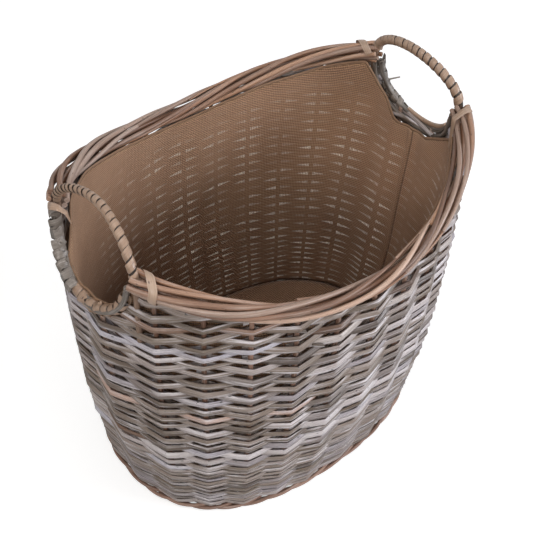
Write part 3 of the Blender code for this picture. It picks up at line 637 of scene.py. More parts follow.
def sweep_profile(tree, curve, sides, flatness, scale, finish):
    """Sweep a flattened circle along curves and give the result its finish."""
    circle = add_node(tree, "GeometryNodeCurvePrimitiveCircle", {"Resolution": sides, "Radius": 0.5})
    way_round = add_node(tree, "GeometryNodeSplineParameter").outputs["Factor"]
    marked = add_node(tree, "GeometryNodeStoreNamedAttribute",
                      {"Geometry": circle.outputs[0], "Name": "around", "Value": way_round})
    stretch = add_node(tree, "ShaderNodeCombineXYZ", {"X": flatness, "Y": 1.0, "Z": 1.0})
    profile = add_node(tree, "GeometryNodeTransform",
                       {"Geometry": marked.outputs[0], "Scale": stretch.outputs[0]})
    swept = add_node(tree, "GeometryNodeCurveToMesh", {
        "Curve": curve, "Profile Curve": profile.outputs[0], "Scale": scale, "Fill Caps": True})
    smooth = add_node(tree, "GeometryNodeSetShadeSmooth", {"Geometry": swept.outputs[0]})
    real = add_node(tree, "GeometryNodeRealizeInstances", {"Geometry": smooth.outputs[0]})
    done = add_node(tree, "GeometryNodeSetMaterial", {"Geometry": real.outputs[0], "Material": finish})
    add_node(tree, "NodeGroupOutput", {0: done.outputs[0]})


def rod_tree():
    """Rods that follow guide lines, each with its own thickness."""
    tree, given = new_geometry_tree("rods on guides", [
        ("Sides", "NodeSocketInt", 8),
        ("Flatness", "NodeSocketFloat", 1.0),
        ("Finish", "NodeSocketMaterial", None),
    ])
    curve = add_node(tree, "GeometryNodeMeshToCurve", {"Mesh": given["Guides"]}).outputs[0]
    faced = add_node(tree, "GeometryNodeSetCurveNormal",
                     {"Curve": curve, "Normal": stored(tree, "facing", "FLOAT_VECTOR")}, mode="FREE")
    sweep_profile(tree, faced.outputs[0], given["Sides"], given["Flatness"],
                  stored(tree, "thickness"), given["Finish"])
    return tree


def winding_tree():
    """One flat strip wound round each guide line from end to end."""
    tree, given = new_geometry_tree("strip wound on guides", [
        ("Turns", "NodeSocketFloat", 20.0),
        ("Points a turn", "NodeSocketInt", 14),
        ("Core radius", "NodeSocketFloat", 0.005),
        ("Strip width", "NodeSocketFloat", 0.008),
        ("Flatness", "NodeSocketFloat", 0.2),
        ("Ridge height", "NodeSocketFloat", 0.0),
        ("Ridge place", "NodeSocketFloat", 0.0),
        ("Crowding", "NodeSocketFloat", 0.0),
        ("Unevenness", "NodeSocketFloat", 0.0),
        ("Drift", "NodeSocketFloat", 0.0),
        ("Seed", "NodeSocketInt", 1),
        ("Finish", "NodeSocketMaterial", None),
    ])
    curve = add_node(tree, "GeometryNodeMeshToCurve", {"Mesh": given["Guides"]}).outputs[0]
    count = calculate(tree, "MULTIPLY", given["Turns"], given["Points a turn"])
    line = add_node(tree, "GeometryNodeResampleCurve", {"Curve": curve, "Count": count})
    faced = add_node(tree, "GeometryNodeSetCurveNormal",
                     {"Curve": line.outputs[0], "Normal": stored(tree, "facing", "FLOAT_VECTOR")},
                     mode="FREE")
    way = add_node(tree, "GeometryNodeSplineParameter").outputs["Factor"]
    crowd = given["Crowding"]
    start_rate = calculate(tree, "SUBTRACT", 1.0, crowd)
    crowded_way = calculate(tree, "MULTIPLY", way, calculate(tree, "MULTIPLY_ADD", crowd, way, start_rate))
    rate = calculate(tree, "MULTIPLY_ADD", calculate(tree, "MULTIPLY", crowd, 2.0), way, start_rate)
    wander = add_node(tree, "ShaderNodeTexNoise",
                      {"W": way, "Scale": DRIFT_SCALE, "Detail": 1.0}, noise_dimensions="1D").outputs[0]
    drift = calculate(tree, "MULTIPLY", calculate(tree, "SUBTRACT", wander, 0.5), given["Drift"])
    turned = calculate(tree, "MULTIPLY_ADD", crowded_way, given["Turns"], drift)
    angle = calculate(tree, "MULTIPLY", turned, 2 * math.pi)
    normal = add_node(tree, "GeometryNodeInputNormal").outputs[0]
    tangent = add_node(tree, "GeometryNodeInputTangent").outputs[0]
    side = add_node(tree, "ShaderNodeVectorMath", {0: tangent, 1: normal},
                    operation="CROSS_PRODUCT").outputs[0]
    away = vector_sum(tree, vector_times(tree, normal, calculate(tree, "COSINE", angle)),
                      vector_times(tree, side, calculate(tree, "SINE", angle)))
    near_ridge = calculate(tree, "COSINE", calculate(tree, "SUBTRACT", angle, given["Ridge place"]))
    sharp_ridge = calculate(tree, "POWER", calculate(tree, "MAXIMUM", near_ridge, 0.0), RIDGE_POWER)
    ridge = calculate(tree, "MULTIPLY", sharp_ridge, given["Ridge height"])
    wobble = add_node(tree, "ShaderNodeTexNoise",
                      {"W": turned, "Scale": UNEVEN_SCALE, "Detail": 1.0}, noise_dimensions="1D").outputs[0]
    uneven = calculate(tree, "MULTIPLY", calculate(tree, "SUBTRACT", wobble, 0.5), given["Unevenness"])
    core = calculate(tree, "MULTIPLY", given["Core radius"], stored(tree, "thickness"))
    radius = calculate(tree, "ADD", calculate(tree, "ADD", core, ridge), uneven)
    kept = add_node(tree, "GeometryNodeStoreNamedAttribute",
                    {"Geometry": faced.outputs[0], "Name": "facing", "Value": away},
                    data_type="FLOAT_VECTOR")
    counted = add_node(tree, "GeometryNodeStoreNamedAttribute",
                       {"Geometry": kept.outputs[0], "Name": "along",
                        "Value": calculate(tree, "MULTIPLY", angle, given["Core radius"])})
    wound = add_node(tree, "GeometryNodeSetPosition", {
        "Geometry": counted.outputs[0],
        "Offset": vector_times(tree, stored(tree, "facing", "FLOAT_VECTOR"), radius)})
    outer = add_node(tree, "GeometryNodeSetCurveNormal",
                     {"Curve": wound.outputs[0], "Normal": stored(tree, "facing", "FLOAT_VECTOR")},
                     mode="FREE")
    spread = add_node(tree, "FunctionNodeRandomValue", {"Seed": given["Seed"]}).outputs[1]
    varied = calculate(tree, "MULTIPLY_ADD", spread, WIDTH_SPREAD, LEAST_WIDTH)
    widths = calculate(tree, "DIVIDE", calculate(tree, "MULTIPLY", given["Strip width"], varied), rate)
    sweep_profile(tree, outer.outputs[0], STRIP_SIDES, given["Flatness"], widths, given["Finish"])
    return tree


def new_object(name, data):
    """Object that is linked to the scene."""
    item = bpy.data.objects.new(name, data)
    bpy.context.scene.collection.objects.link(item)
    return item


class Guides:
    """Centre lines of rods, each point with its thickness, facing, tone and distance along."""

    def __init__(self):
        self.points = []
        self.facings = []
        self.values = {"thickness": [], "tone": [], "along": []}
        self.edges = []
        self.count = 0

    def add(self, points, facings, thickness, tone):
        """One more line."""
        points = np.asarray(points, dtype=float)
        total = len(points)
        facings = np.broadcast_to(facings, points.shape)
        steps = np.linalg.norm(np.diff(points, axis=0), axis=1)
        self.points.append(points)
        self.facings.append(facings)
        self.values["thickness"].append(np.broadcast_to(thickness, (total,)))
        self.values["tone"].append(np.full(total, tone))
        self.values["along"].append(np.concatenate([[0], np.cumsum(steps)]) + tone * GRAIN_SHIFT)
        first = self.count + np.arange(total - 1)
        self.edges.append(np.stack([first, first + 1], axis=1))
        self.count += total

    def as_object(self, name):
        """Loose edges that a node tree turns into rods."""
        mesh = bpy.data.meshes.new(name)
        mesh.from_pydata(np.concatenate(self.points).tolist(), np.concatenate(self.edges).tolist(), [])
        facing = mesh.attributes.new("facing", "FLOAT_VECTOR", "POINT")
        facing.data.foreach_set("vector", np.concatenate(self.facings).ravel())
        for label, values in self.values.items():
            stored_values = mesh.attributes.new(label, "FLOAT", "POINT")
            stored_values.data.foreach_set("value", np.concatenate(values))
        return new_object(name, mesh)


TREES = {}


def shared_tree(maker):
    """A node group, made once and used by every piece that needs it."""
    if maker not in TREES:
        TREES[maker] = maker()
    return TREES[maker]


def set_inputs(modifier, values):
    """Set a node modifier's inputs by the identifiers of their sockets."""
    for item in modifier.node_group.interface.items_tree:
        if item.item_type == "SOCKET" and item.in_out == "INPUT" and item.name in values:
            modifier[item.identifier] = values[item.name]


def plain_mesh(source, name):
    """The evaluated object as a plain mesh object, with the source removed."""
    graph = bpy.context.evaluated_depsgraph_get()
    mesh = bpy.data.meshes.new_from_object(source.evaluated_get(graph), preserve_all_data_layers=True,
                                           depsgraph=graph)
    mesh.name = name
    old_mesh = source.data
    bpy.data.objects.remove(source, do_unlink=True)
    bpy.data.meshes.remove(old_mesh)
    return new_object(name, mesh)


def grow(name, guides, maker, values):
    """Run guides through a node tree and keep the plain result."""
    guide = guides.as_object(f"{name}_guides")
    modifier = guide.modifiers.new("grow", "NODES")
    modifier.node_group = shared_tree(maker)
    set_inputs(modifier, values)
    piece = plain_mesh(guide, name)
    piece.data.set_sharp_from_angle(angle=math.radians(SHARP_DEGREES))
    return piece


def rods(name, guides, finish, sides, flatness=1.0):
    """Rods along guides."""
    return grow(name, guides, rod_tree, {"Sides": sides, "Flatness": flatness, "Finish": finish})


def finish_piece(piece, slot, *nodes):
    """Fix a piece to the carrier's body and hide the solid parts that it stands for."""
    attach(piece, "root")
    if nodes:
        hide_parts(*nodes)
    return piece


def new_material(name, roughness):
    """Material with its shader, ready for colour and bump."""
    material = bpy.data.materials.new(name)
    material.use_nodes = True
    shader = material.node_tree.nodes["Principled BSDF"]
    shader.inputs["Roughness"].default_value = roughness
    return material, material.node_tree, shader


def colour_ramp(tree, factor, stops, steps="LINEAR"):
    """Colour that runs through stops of (place, colour)."""
    ramp = add_node(tree, "ShaderNodeValToRGB", {"Fac": factor})
    ramp.color_ramp.interpolation = steps
    elements = ramp.color_ramp.elements
    while len(elements) < len(stops):
        elements.new(0.5)
    for element, (place, colour) in zip(elements, stops):
        element.position = place
        element.color = (*colour, 1.0)
    return ramp.outputs[0]


def mix_colours(tree, factor, first, second, blend="MIX"):
    """Blend of two colours."""
    node = add_node(tree, "ShaderNodeMix", {0: factor, FIRST_COLOUR: first, SECOND_COLOUR: second},
                    data_type="RGBA", blend_type=blend)
    return node.outputs[2]


def attribute(tree, name):
    """Value that the piece's points carry."""
    return add_node(tree, "ShaderNodeAttribute", attribute_name=name).outputs["Fac"]


def grain_place(tree, grain):
    """Place on a rod for its grain: along it, round it, and different for each rod."""
    along_scale, around_scale = grain
    turn = calculate(tree, "MULTIPLY", attribute(tree, "around"), 2 * math.pi)
    tone = attribute(tree, "tone")
    round_rod = [
        calculate(tree, "MULTIPLY_ADD", calculate(tree, wave, turn), around_scale,
                  calculate(tree, "MULTIPLY", tone, offset))
        for wave, offset in zip(("COSINE", "SINE"), GRAIN_OFFSETS)]
    return add_node(tree, "ShaderNodeCombineXYZ", {
        "X": calculate(tree, "MULTIPLY", attribute(tree, "along"), along_scale),
        "Y": round_rod[0], "Z": round_rod[1]}).outputs[0]


def noise(tree, place, scale, detail, roughness=PATTERN_ROUGHNESS):
    """Soft random value."""
    return add_node(tree, "ShaderNodeTexNoise", {
        "Vector": place, "Scale": scale, "Detail": detail, "Roughness": roughness}).outputs[0]


def shades(name, stops):
    """Stops of a ramp, moved from a colour's default to the one that is set."""
    chosen = getattr(bpy.context.scene.carrier_colours, name)
    ratio = [new / old for new, old in zip(chosen, COLOURS[name])]
    return [(place, tuple(part * share for part, share in zip(tone, ratio))) for place, tone in stops]


def add_bump(tree, shader, height, strength, distance):
    """Fine relief from a height."""
    bump = add_node(tree, "ShaderNodeBump", {"Height": height, "Strength": strength, "Distance": distance})
    tree.links.new(bump.outputs[0], shader.inputs["Normal"])


def willow(name):
    """Willow rod: colour by rod, streaks along the grain, knots, and a wash that lies in patches."""
    given = WILLOWS[name]
    stops = shades(given["set_by"], given["stops"]) if "set_by" in given else given["stops"]
    material, tree, shader = new_material(name, given["roughness"])
    tone = attribute(tree, "tone")
    streak = noise(tree, grain_place(tree, STREAK_GRAIN), 1.0, FINELY)
    patch = noise(tree, grain_place(tree, PATCH_GRAIN), 1.0, SOFTLY)
    spread = calculate(tree, "ADD", calculate(tree, "SUBTRACT", streak, 0.5), tone)
    mixed = calculate(tree, "MULTIPLY_ADD", calculate(tree, "SUBTRACT", patch, 0.5), PATCH_WEIGHT, spread)
    colour = colour_ramp(tree, mixed, stops)
    if "tints" in given:
        lot = calculate(tree, "FRACT", calculate(tree, "MULTIPLY", tone, TINT_LOTS))
        tint = colour_ramp(tree, lot, given["tints"], "CONSTANT")
        colour = mix_colours(tree, 1.0, colour, tint, "MULTIPLY")
    if "wash" in given:
        cover = noise(tree, grain_place(tree, WASH_GRAIN), 1.0, FINELY)
        lie = calculate(tree, "SUBTRACT", cover, WASH_LEVEL)
        held = add_node(tree, "ShaderNodeClamp", {
            "Value": product(tree, lie, WASH_CONTRAST, given["wash"])}).outputs[0]
        colour = mix_colours(tree, held, colour, (*given["wash_colour"], 1.0))
    knots = noise(tree, grain_place(tree, KNOT_GRAIN), 1.0, ROUGHLY)
    colour = mix_colours(tree, ranged(tree, knots, KNOT_SPAN), colour, (*given["speck"], 1.0))
    tree.links.new(colour, shader.inputs["Base Color"])
    fine = noise(tree, grain_place(tree, FINE_GRAIN), 1.0, FINELY)
    relief = calculate(tree, "MULTIPLY_ADD", patch, PATCH_WEIGHT, fine)
    add_bump(tree, shader, relief, GRAIN_BUMP, GRAIN_RELIEF)
    return material


def washed_willow():
    """Grey antique wash over peeled rods."""
    return willow("washed_willow")


def brown_willow():
    """Pinkish brown rods of the stakes and the foot."""
    return willow("brown_willow")


def rim_willow():
    """Tan rods of the rim with a thin pinkish wash."""
    return willow("rim_willow")


def tan_skein():
    """Split skein of the handles, slightly glossy."""
    return willow("tan_skein")


def grey_skein():
    """Skein with a grey wash, on the hand holes."""
    return willow("grey_skein")


def bow_rod():
    """Rod of a handle, darkened under the skein as painted shade between the turns, and lighter on its legs.
    """
    return willow("bow_rod")


def hem_cloth():
    """Paler folded edge of the hessian."""
    return willow("hem_cloth")


def split_wood():
    """Bare split sticks of the base, with their grain lengthwise."""
    material, tree, shader = new_material("split_wood", STICK_ROUGHNESS)
    grain = noise(tree, add_node(tree, "ShaderNodeTexCoord").outputs["Object"], STICK_GRAIN, FINELY)
    tree.links.new(colour_ramp(tree, grain, STICK_STOPS), shader.inputs["Base Color"])
    add_bump(tree, shader, grain, STICK_BUMP, STICK_RELIEF)
    return material


def thread_wave(tree, value, pitch):
    """Humps of threads that lie side by side, a pitch apart."""
    return calculate(tree, "ABSOLUTE", calculate(
        tree, "SINE", calculate(tree, "MULTIPLY", value, math.pi / pitch)))


def hessian(light_rows):
    """Coarse brown cloth: crossing threads, slubs, painted shade and painted light, and pale flecks where
    light comes between the rods.
    """
    material, tree, shader = new_material("hessian_flecked" if light_rows else "hessian", CLOTH_ROUGHNESS)
    shader.inputs["Sheen Weight"].default_value = CLOTH_SHEEN
    uv = add_node(tree, "ShaderNodeUVMap", uv_map="cloth").outputs[0]
    parts = add_node(tree, "ShaderNodeSeparateXYZ", {0: uv}).outputs
    slub = noise(tree, uv, SLUB_SCALE, CLEARLY)
    bend = calculate(tree, "MULTIPLY", calculate(tree, "SUBTRACT", slub, 0.5), SLUB_BEND)
    weft = thread_wave(tree, calculate(tree, "ADD", parts[1], bend), WEFT_PITCH)
    warp = thread_wave(tree, calculate(tree, "SUBTRACT", parts[0], bend), WARP_PITCH)
    woven = calculate(tree, "MULTIPLY_ADD", warp, WARP_WEIGHT, calculate(tree, "MULTIPLY", weft, WEFT_WEIGHT))
    tint = noise(tree, uv, TINT_SCALE, FINELY)
    tone = calculate(tree, "MULTIPLY_ADD", tint, TINT_WEIGHT, calculate(
        tree, "MULTIPLY", woven, THREAD_WEIGHT))
    colour = colour_ramp(tree, tone, shades("cloth", CLOTH_STOPS))
    # Painted shade: the wall cloth darkens towards the bottom, and the floor cloth is darkened all over
    deep = ranged(tree, attribute(tree, "below_edge"), DEEP_PAINTED_SHADE_SPAN) if light_rows else DEEP_PAINTED_SHADE
    colour = mix_colours(tree, deep, colour, (*PAINTED_SHADE_COLOUR, 1.0))
    if light_rows:
        # Painted light: paler cloth along the hand holes' edges
        worn = calculate(tree, "MULTIPLY", attribute(tree, "worn"), EDGE_LIGHT_STRENGTH)
        colour = mix_colours(tree, worn, colour, (*EDGE_LIGHT_COLOUR, 1.0))
        # Painted shade in the crease along each seam
        seam = calculate(tree, "MULTIPLY", attribute(tree, "seam"), SEAM_PAINTED_SHADE)
        colour = mix_colours(tree, seam, colour, (*PAINTED_SHADE_COLOUR, 1.0))
        fleck = light_flecks(tree, warp)
        colour = mix_colours(tree, fleck, colour, (*FLECK_COLOUR, 1.0))
        shader.inputs["Emission Color"].default_value = (*FLECK_GLOW_COLOUR, 1.0)
        glow = calculate(tree, "MULTIPLY", fleck, FLECK_GLOW)
        tree.links.new(glow, shader.inputs["Emission Strength"])
    tree.links.new(colour, shader.inputs["Base Color"])
    add_bump(tree, shader, woven, CLOTH_BUMP, CLOTH_RELIEF)
    return material


def light_flecks(tree, warp):
    """Share of pale fleck: beside each stake, once in two rows of the wall, tall there and pointed away."""
    place = add_node(tree, "ShaderNodeUVMap", uv_map="bays").outputs[0]
    parts = add_node(tree, "ShaderNodeSeparateXYZ", {0: place}).outputs
    stake = calculate(tree, "ROUND", parts[0])
    beside = calculate(tree, "SUBTRACT", parts[0], stake)
    away = calculate(tree, "ABSOLUTE", beside)
    parity = calculate(tree, "MULTIPLY", calculate(tree, "FLOORED_MODULO", stake, 2.0), 0.5)
    level = calculate(tree, "ADD", parts[1], parity)
    row = calculate(tree, "FLOOR", level)
    from_middle = calculate(tree, "ABSOLUTE", calculate(
        tree, "SUBTRACT", calculate(tree, "SUBTRACT", level, row), 0.5))
    half_height = calculate(tree, "MULTIPLY", calculate(tree, "SUBTRACT", 0.5, away), FLECK_SLOPE)
    inside = ranged(tree, calculate(tree, "SUBTRACT", half_height, from_middle), FLECK_EDGE_SPAN)
    clear = calculate(tree, "GREATER_THAN", away, FLECK_CLEAR)
    cell = add_node(tree, "ShaderNodeCombineXYZ", {
        "X": stake, "Y": row, "Z": calculate(tree, "SIGN", beside)}).outputs[0]
    lot = add_node(tree, "ShaderNodeTexWhiteNoise", {"Vector": cell}).outputs[0]
    strength = calculate(tree, "MULTIPLY_ADD", calculate(tree, "POWER", lot, FLECK_LOT_POWER),
                         FLECK_LOT_WEIGHT, FLECK_LEAST)
    patch = ranged(tree, noise(tree, place, FLECK_PATCH_SCALE, SOFTLY), FLECK_PATCH_SPAN)
    low = ranged(tree, parts[1], FLECK_LOW_SPAN)
    ticks = ranged(tree, warp, FLECK_TICK_SPAN)
    from_left = calculate(tree, "ABSOLUTE", calculate(tree, "SUBTRACT", parts[0], len(STAKES) / 2 - 0.5))
    faded = ranged(tree, from_left, FLECK_LEFT_SPAN)
    lower = ranged(tree, attribute(tree, "below_edge"), FLECK_TOP_SPAN)
    broken = ranged(tree, noise(tree, place, FLECK_BROKEN_SCALE, CLEARLY, FLECK_BROKEN_ROUGHNESS),
                    FLECK_BROKEN_SPAN)
    seam_span = (*[len(STAKES) - stakes for stakes in FLECK_SEAM_STAKES], *FLECK_SEAM_SHARES)
    beyond_seam = ranged(tree, parts[0], seam_span)
    return product(tree, inside, clear, strength, patch, faded, lower, broken, beyond_seam,
                   attribute(tree, "inner"), ticks, low)


MATERIALS = {}


def material(maker, *given):
    """A material, made once."""
    key = (maker, *given)
    if key not in MATERIALS:
        MATERIALS[key] = maker(*given)
    return MATERIALS[key]


def rod_shares(rng, rows, parity):
    """Relative thickness of rows at stakes, and the tapering rods that each row is made of."""
    stakes = len(STAKES)
    shares = np.zeros((rows, stakes))
    row_rods = []
    for row in range(rows):
        start = 2 * int(rng.integers(stakes // 2)) + (row + parity + 1) % 2
        made = []
        for bays in ROD_BAY_SPLITS[int(rng.integers(len(ROD_BAY_SPLITS)))]:
            butt = rng.uniform(*ROD_BUTT_SHARE)
            tip = rng.uniform(*ROD_TIP_SHARE)
            taper = butt + (tip - butt) * np.linspace(0, 1, bays + 1) ** ROD_TAPER_POWER
            for step in range(bays):
                shares[row, (start + step) % stakes] = taper[step]
            made.append((start, taper, float(rng.random())))
            start += bays
        row_rods.append(made)
    return shares, row_rods


def bay_offset(along, width, sign, reach):
    """Depth of a rod between two stakes: out over one and in behind the next, bent close at both."""
    def soft(distance):
        return np.sqrt(distance ** 2 + PASS_BEND ** 2) - PASS_BEND
    return sign * reach * (soft(width - along) - soft(along)) / soft(width)


def row_line(first, taper, row, parity, heights, room, reach, set_in, rng):
    """Arcs, heights, depths and thickness along one rod of a row."""
    stakes = len(STAKES)
    steps = np.array(BAY_STEP_SHARES)
    arcs, levels, depths, sizes = [], [], [], []
    for step in range(len(taper) - 1):
        here = (first + step) % stakes
        after = (here + 1) % stakes
        width = (STAKES[after] - STAKES[here]) % PERIMETER
        sign = 1 if (row + parity + here) % 2 == 0 else -1
        depths.append(bay_offset(steps * width, width, sign, reach * rng.uniform(*PASS_SPREAD)))
        arcs.append(STAKES[here] + steps * width)
        sag = ROW_BOW * rng.normal() * np.sin(math.pi * steps)
        levels.append(heights[row, here] + (heights[row, after] - heights[row, here]) * steps + sag)
        sizes.append((taper[step] + (taper[step + 1] - taper[step]) * steps) * room)
    last = (first + len(taper) - 1) % stakes
    arcs = np.concatenate([[STAKES[first % stakes] - ROD_TAIL], *unwrap(arcs), [0, ROD_TAIL]])
    arcs[-2:] += arcs[-3] + (STAKES[last] - arcs[-3]) % PERIMETER
    levels = np.concatenate([[heights[row, first % stakes]], *levels, [heights[row, last]] * 2])
    depths = np.concatenate([[-reach], *depths, [-reach, -reach]])
    sizes = np.concatenate([[taper[0] * room], *sizes, [taper[-1] * room, taper[-1] * room * ROD_TAIL_SHARE]])
    return arcs, levels, depths - set_in, sizes


def unwrap(arcs):
    """Arcs of following bays without the jump back to zero."""
    lifted = []
    base = 0.0
    for bay in arcs:
        while lifted and bay[0] + base < lifted[-1][-1]:
            base += PERIMETER
        lifted.append(bay + base)
    return lifted


def stacked_heights(shares, bottom, top):
    """Height of each row at each stake: rows lie on one another and fill the band."""
    total = shares.sum(axis=0)
    below = np.cumsum(shares, axis=0) - shares
    return bottom + (top - bottom) * (below + shares / 2) / total, (top - bottom) / total.mean()


def kept_runs(inside):
    """Slices of a line that lie where the wall is woven."""
    edges = np.flatnonzero(np.diff(np.concatenate([[0], inside.astype(int), [0]])))
    return [slice(start, stop) for start, stop in zip(edges[::2], edges[1::2])
            if stop - start > LEAST_RUN_POINTS]


def add_row_rods(guides, lines, row_tones):
    """Add a row's rods, cut off where the wall ends and drawn in to the edge there."""
    for (arcs, levels, depths, sizes), tone in zip(lines, row_tones):
        tops = weave_top(arcs)
        calm = np.clip((tops - levels) / EDGE_CALM, CALM_LEAST_SHARE, 1)
        inside = levels < tops
        for run in kept_runs(inside):
            arc = arcs[run]
            room = np.minimum(arc - arc[0], arc[-1] - arc)
            whole = len(arc) == len(arcs)
            ease = np.ones_like(arc) if whole else np.clip(room / EDGE_TAPER, EDGE_LEAST_SHARE, 1)
            middle = np.mean(depths)
            depth = middle + (depths[run] - middle) * np.minimum(ease, calm[run])
            guides.add(wall_point(arc, levels[run], depth), outward(arc),
                       sizes[run] * (EDGE_ROD_SHARE + (1 - EDGE_ROD_SHARE) * ease), tone)


def weave_rods(rng, rows, parity, bottom, top, reach, set_in, fill):
    """Lines of every rod in a band, row by row."""
    shares, row_rods = rod_shares(rng, rows, parity)
    heights, share_height = stacked_heights(shares, bottom, top)
    room = share_height * fill
    return [[(row_line(first, taper, row, parity, heights, room, reach, set_in, rng), tone)
             for first, taper, tone in made] for row, made in enumerate(row_rods)]


def rows_as_guides(rows, tone_share):
    """Guides for some rows of weave, paler or darker by a share."""
    guides = Guides()
    for made in rows:
        add_row_rods(guides, [line for line, tone in made], [tone * tone_share for line, tone in made])
    return guides


def add_cut_ends(guides):
    """Slanting cut ends of rods that stand a little out of the wall."""
    rng = np.random.default_rng(SEEDS["cut_ends"])
    way = np.linspace(0, 1, CUT_END_POINTS)
    for arc, height in CUT_ENDS:
        points = wall_point(arc + CUT_END_LENGTH * way, height + CUT_END_RISE * way,
                            -CUT_END_SET_IN + CUT_END_REACH * way)
        guides.add(points, outward(arc), CUT_END_ROD, rng.uniform(*CUT_END_TONES))


def make_weave(sizes):
    """The three bands of the wall."""
    rng = np.random.default_rng(sizes.weave_seed)
    fine = weave_rods(rng, FINE_ROWS, 0, FINE_BOTTOM, FINE_TOP, FINE_PASS, sizes.weave_set_in,
                      sizes.rod_fill)
    coarse = weave_rods(rng, COARSE_ROWS, FINE_ROWS, FINE_TOP, COARSE_TOP, COARSE_PASS,
                        sizes.weave_set_in, sizes.rod_fill)
    finish = material(washed_willow)
    for name, rows, node, tone_share in (("lower_weave", fine, "lower_siding", FINE_TONE_SHARE),
                                         ("middle_weave", coarse[:MIDDLE_ROWS], "middle_siding", 1.0),
                                         ("upper_weave", coarse[MIDDLE_ROWS:], "upper_siding", 1.0)):
        guides = rows_as_guides(rows, tone_share)
        if name == "upper_weave":
            add_cut_ends(guides)
        finish_piece(rods(name, guides, finish, WEAVE_SIDES, sizes.rod_flatness), "grey_willow", node)


def make_stakes(sizes):
    """Upright rods behind and before which the weave passes."""
    rng = np.random.default_rng(SEEDS["stakes"])
    guides = Guides()
    for arc in STAKES:
        top = float(weave_top(arc))
        levels = np.linspace(STAKE_BOTTOM, top, STAKE_POINTS)
        lean = STAKE_SWAY * np.sin(levels * STAKE_SWAY_WAVES + rng.uniform(0, PHASE_SPREAD))
        points = wall_point(arc + lean, levels, -sizes.weave_set_in)
        thickness = STAKE_BUTT + (STAKE_TIP - STAKE_BUTT) * (levels / top)
        guides.add(points, outward(arc), thickness, rng.random())
    names = [f"stake_{number:02d}" for number in range(1, len(STAKES) + 1)]
    finish_piece(rods("willow_stakes", guides, material(brown_willow), STAKE_SIDES),
                 "brown_willow", *names)


def rim_frame(arcs):
    """Centre points of the rim, and the vectors out of it and up from it."""
    points = wall_point(arcs, rim_height(arcs), 0.0)
    ahead = np.gradient(points, axis=0)
    ahead = ahead / np.linalg.norm(ahead, axis=1, keepdims=True)
    out = outward(arcs)
    out = out - ahead * np.sum(out * ahead, axis=1, keepdims=True)
    out = out / np.linalg.norm(out, axis=1, keepdims=True)
    return points, out, np.cross(out, ahead)


def slow_wave(rng, along, size, waves):
    """Sum of a few slow sine waves."""
    total = np.zeros_like(along)
    for number in range(1, waves + 1):
        total += np.sin(along * number * 2 * math.pi + rng.uniform(0, 2 * math.pi)) / number
    return total * size


def rim_strand(guides, rng, arcs, share, phase, thickness, reach_share):
    """One strand of the rim's twist, between two shares of the way along, passing beside the legs."""
    first, last = share
    points, out, up = rim_frame(arcs)
    way = np.linspace(0, 1, len(arcs))
    turn = phase + 2 * math.pi * RIM_TURNS * way + slow_wave(rng, way, RIM_PHASE_WANDER, RIM_PHASE_WAVES)
    loose = reach_share + slow_wave(rng, way, RIM_REACH_WANDER, RIM_REACH_WAVES) / RIM_REACH_OUT
    across = RIM_REACH_OUT * loose * np.cos(turn)
    from_leg = np.minimum(np.abs(arcs - arcs[0] - RIM_OVERRUN), np.abs(arcs[-1] - RIM_END_OVERRUN - arcs))
    beside = np.sign(across) * np.maximum(np.abs(across), LEG_CLEAR)
    across = across + (beside - across) * np.exp(-(from_leg / LEG_CLEAR_LENGTH) ** 2)
    line = points + out * across[:, None] + up * (RIM_REACH_UP * loose * np.sin(turn))[:, None]
    facing = out * np.cos(turn)[:, None] + up * np.sin(turn)[:, None]
    kept = (way >= first) & (way <= last)
    guides.add(line[kept], facing[kept], thickness[kept], rng.random())


def make_rim_side(name, start, end, nodes):
    """Strands twisted from one handle to the other, some ending in the twist as new ones begin."""
    rng = np.random.default_rng(SEEDS[name])
    guides = Guides()
    arcs = np.linspace(start - RIM_OVERRUN, end + RIM_END_OVERRUN, RIM_POINTS)
    way = np.linspace(0, 1, RIM_POINTS)
    for strand in range(RIM_STRANDS):
        phase = 2 * math.pi * strand / RIM_STRANDS + rng.uniform(-RIM_STRAND_PHASE, RIM_STRAND_PHASE)
        size = rng.uniform(*RIM_STRAND)
        join = rng.uniform(*RIM_JOIN)
        thinned = np.clip((way - join + RIM_TIP_BEFORE_JOIN) / RIM_TIP_LENGTH, 0, 1)
        grown = np.clip((way - join) / RIM_BUTT_LENGTH, 0, 1)
        tip = size * (1 - RIM_TIP_LOSS * thinned)
        butt = size * (RIM_BUTT_SHARE + (1 - RIM_BUTT_SHARE) * grown)
        rim_strand(guides, rng, arcs, (rng.uniform(0, RIM_END_SPREAD), join + RIM_TIP_PAST_JOIN),
                   phase, tip, 1.0)
        rim_strand(guides, rng, arcs, (join - RIM_BUTT_BEFORE_JOIN, 1 - rng.uniform(0, RIM_END_SPREAD)),
                   phase + RIM_BUTT_TURN, butt, RIM_BUTT_REACH)
    # A heart strand inside the twist, darkest as painted shade in the gaps between the strands
    points, out = rim_frame(arcs)[:2]
    inner = slice(RIM_HEART_INSET, RIM_POINTS - RIM_HEART_INSET)
    guides.add(points[inner], out[inner], RIM_HEART, RIM_HEART_SHADE_TONE)
    finish_piece(rods(name, guides, material(rim_willow), RIM_ROD_SIDES, RIM_FLATNESS),
                 "rim_willow", *nodes)


def make_rim():
    """Both long sides of the rim."""
    for side, start in (("back", 0.0), ("front", HALF_ROUND)):
        make_rim_side(f"{side}_rim", start + LEG_ARC, start + HALF_ROUND - LEG_ARC,
                      [f"rim_{side}_rod_{number}" for number in range(1, RIM_RODS_A_SIDE + 1)])


def end_sides(end_name):
    """Arcs of an end's front and back legs."""
    if end_name == "right":
        return -LEG_ARC, LEG_ARC
    return HALF_ROUND + LEG_ARC, HALF_ROUND - LEG_ARC


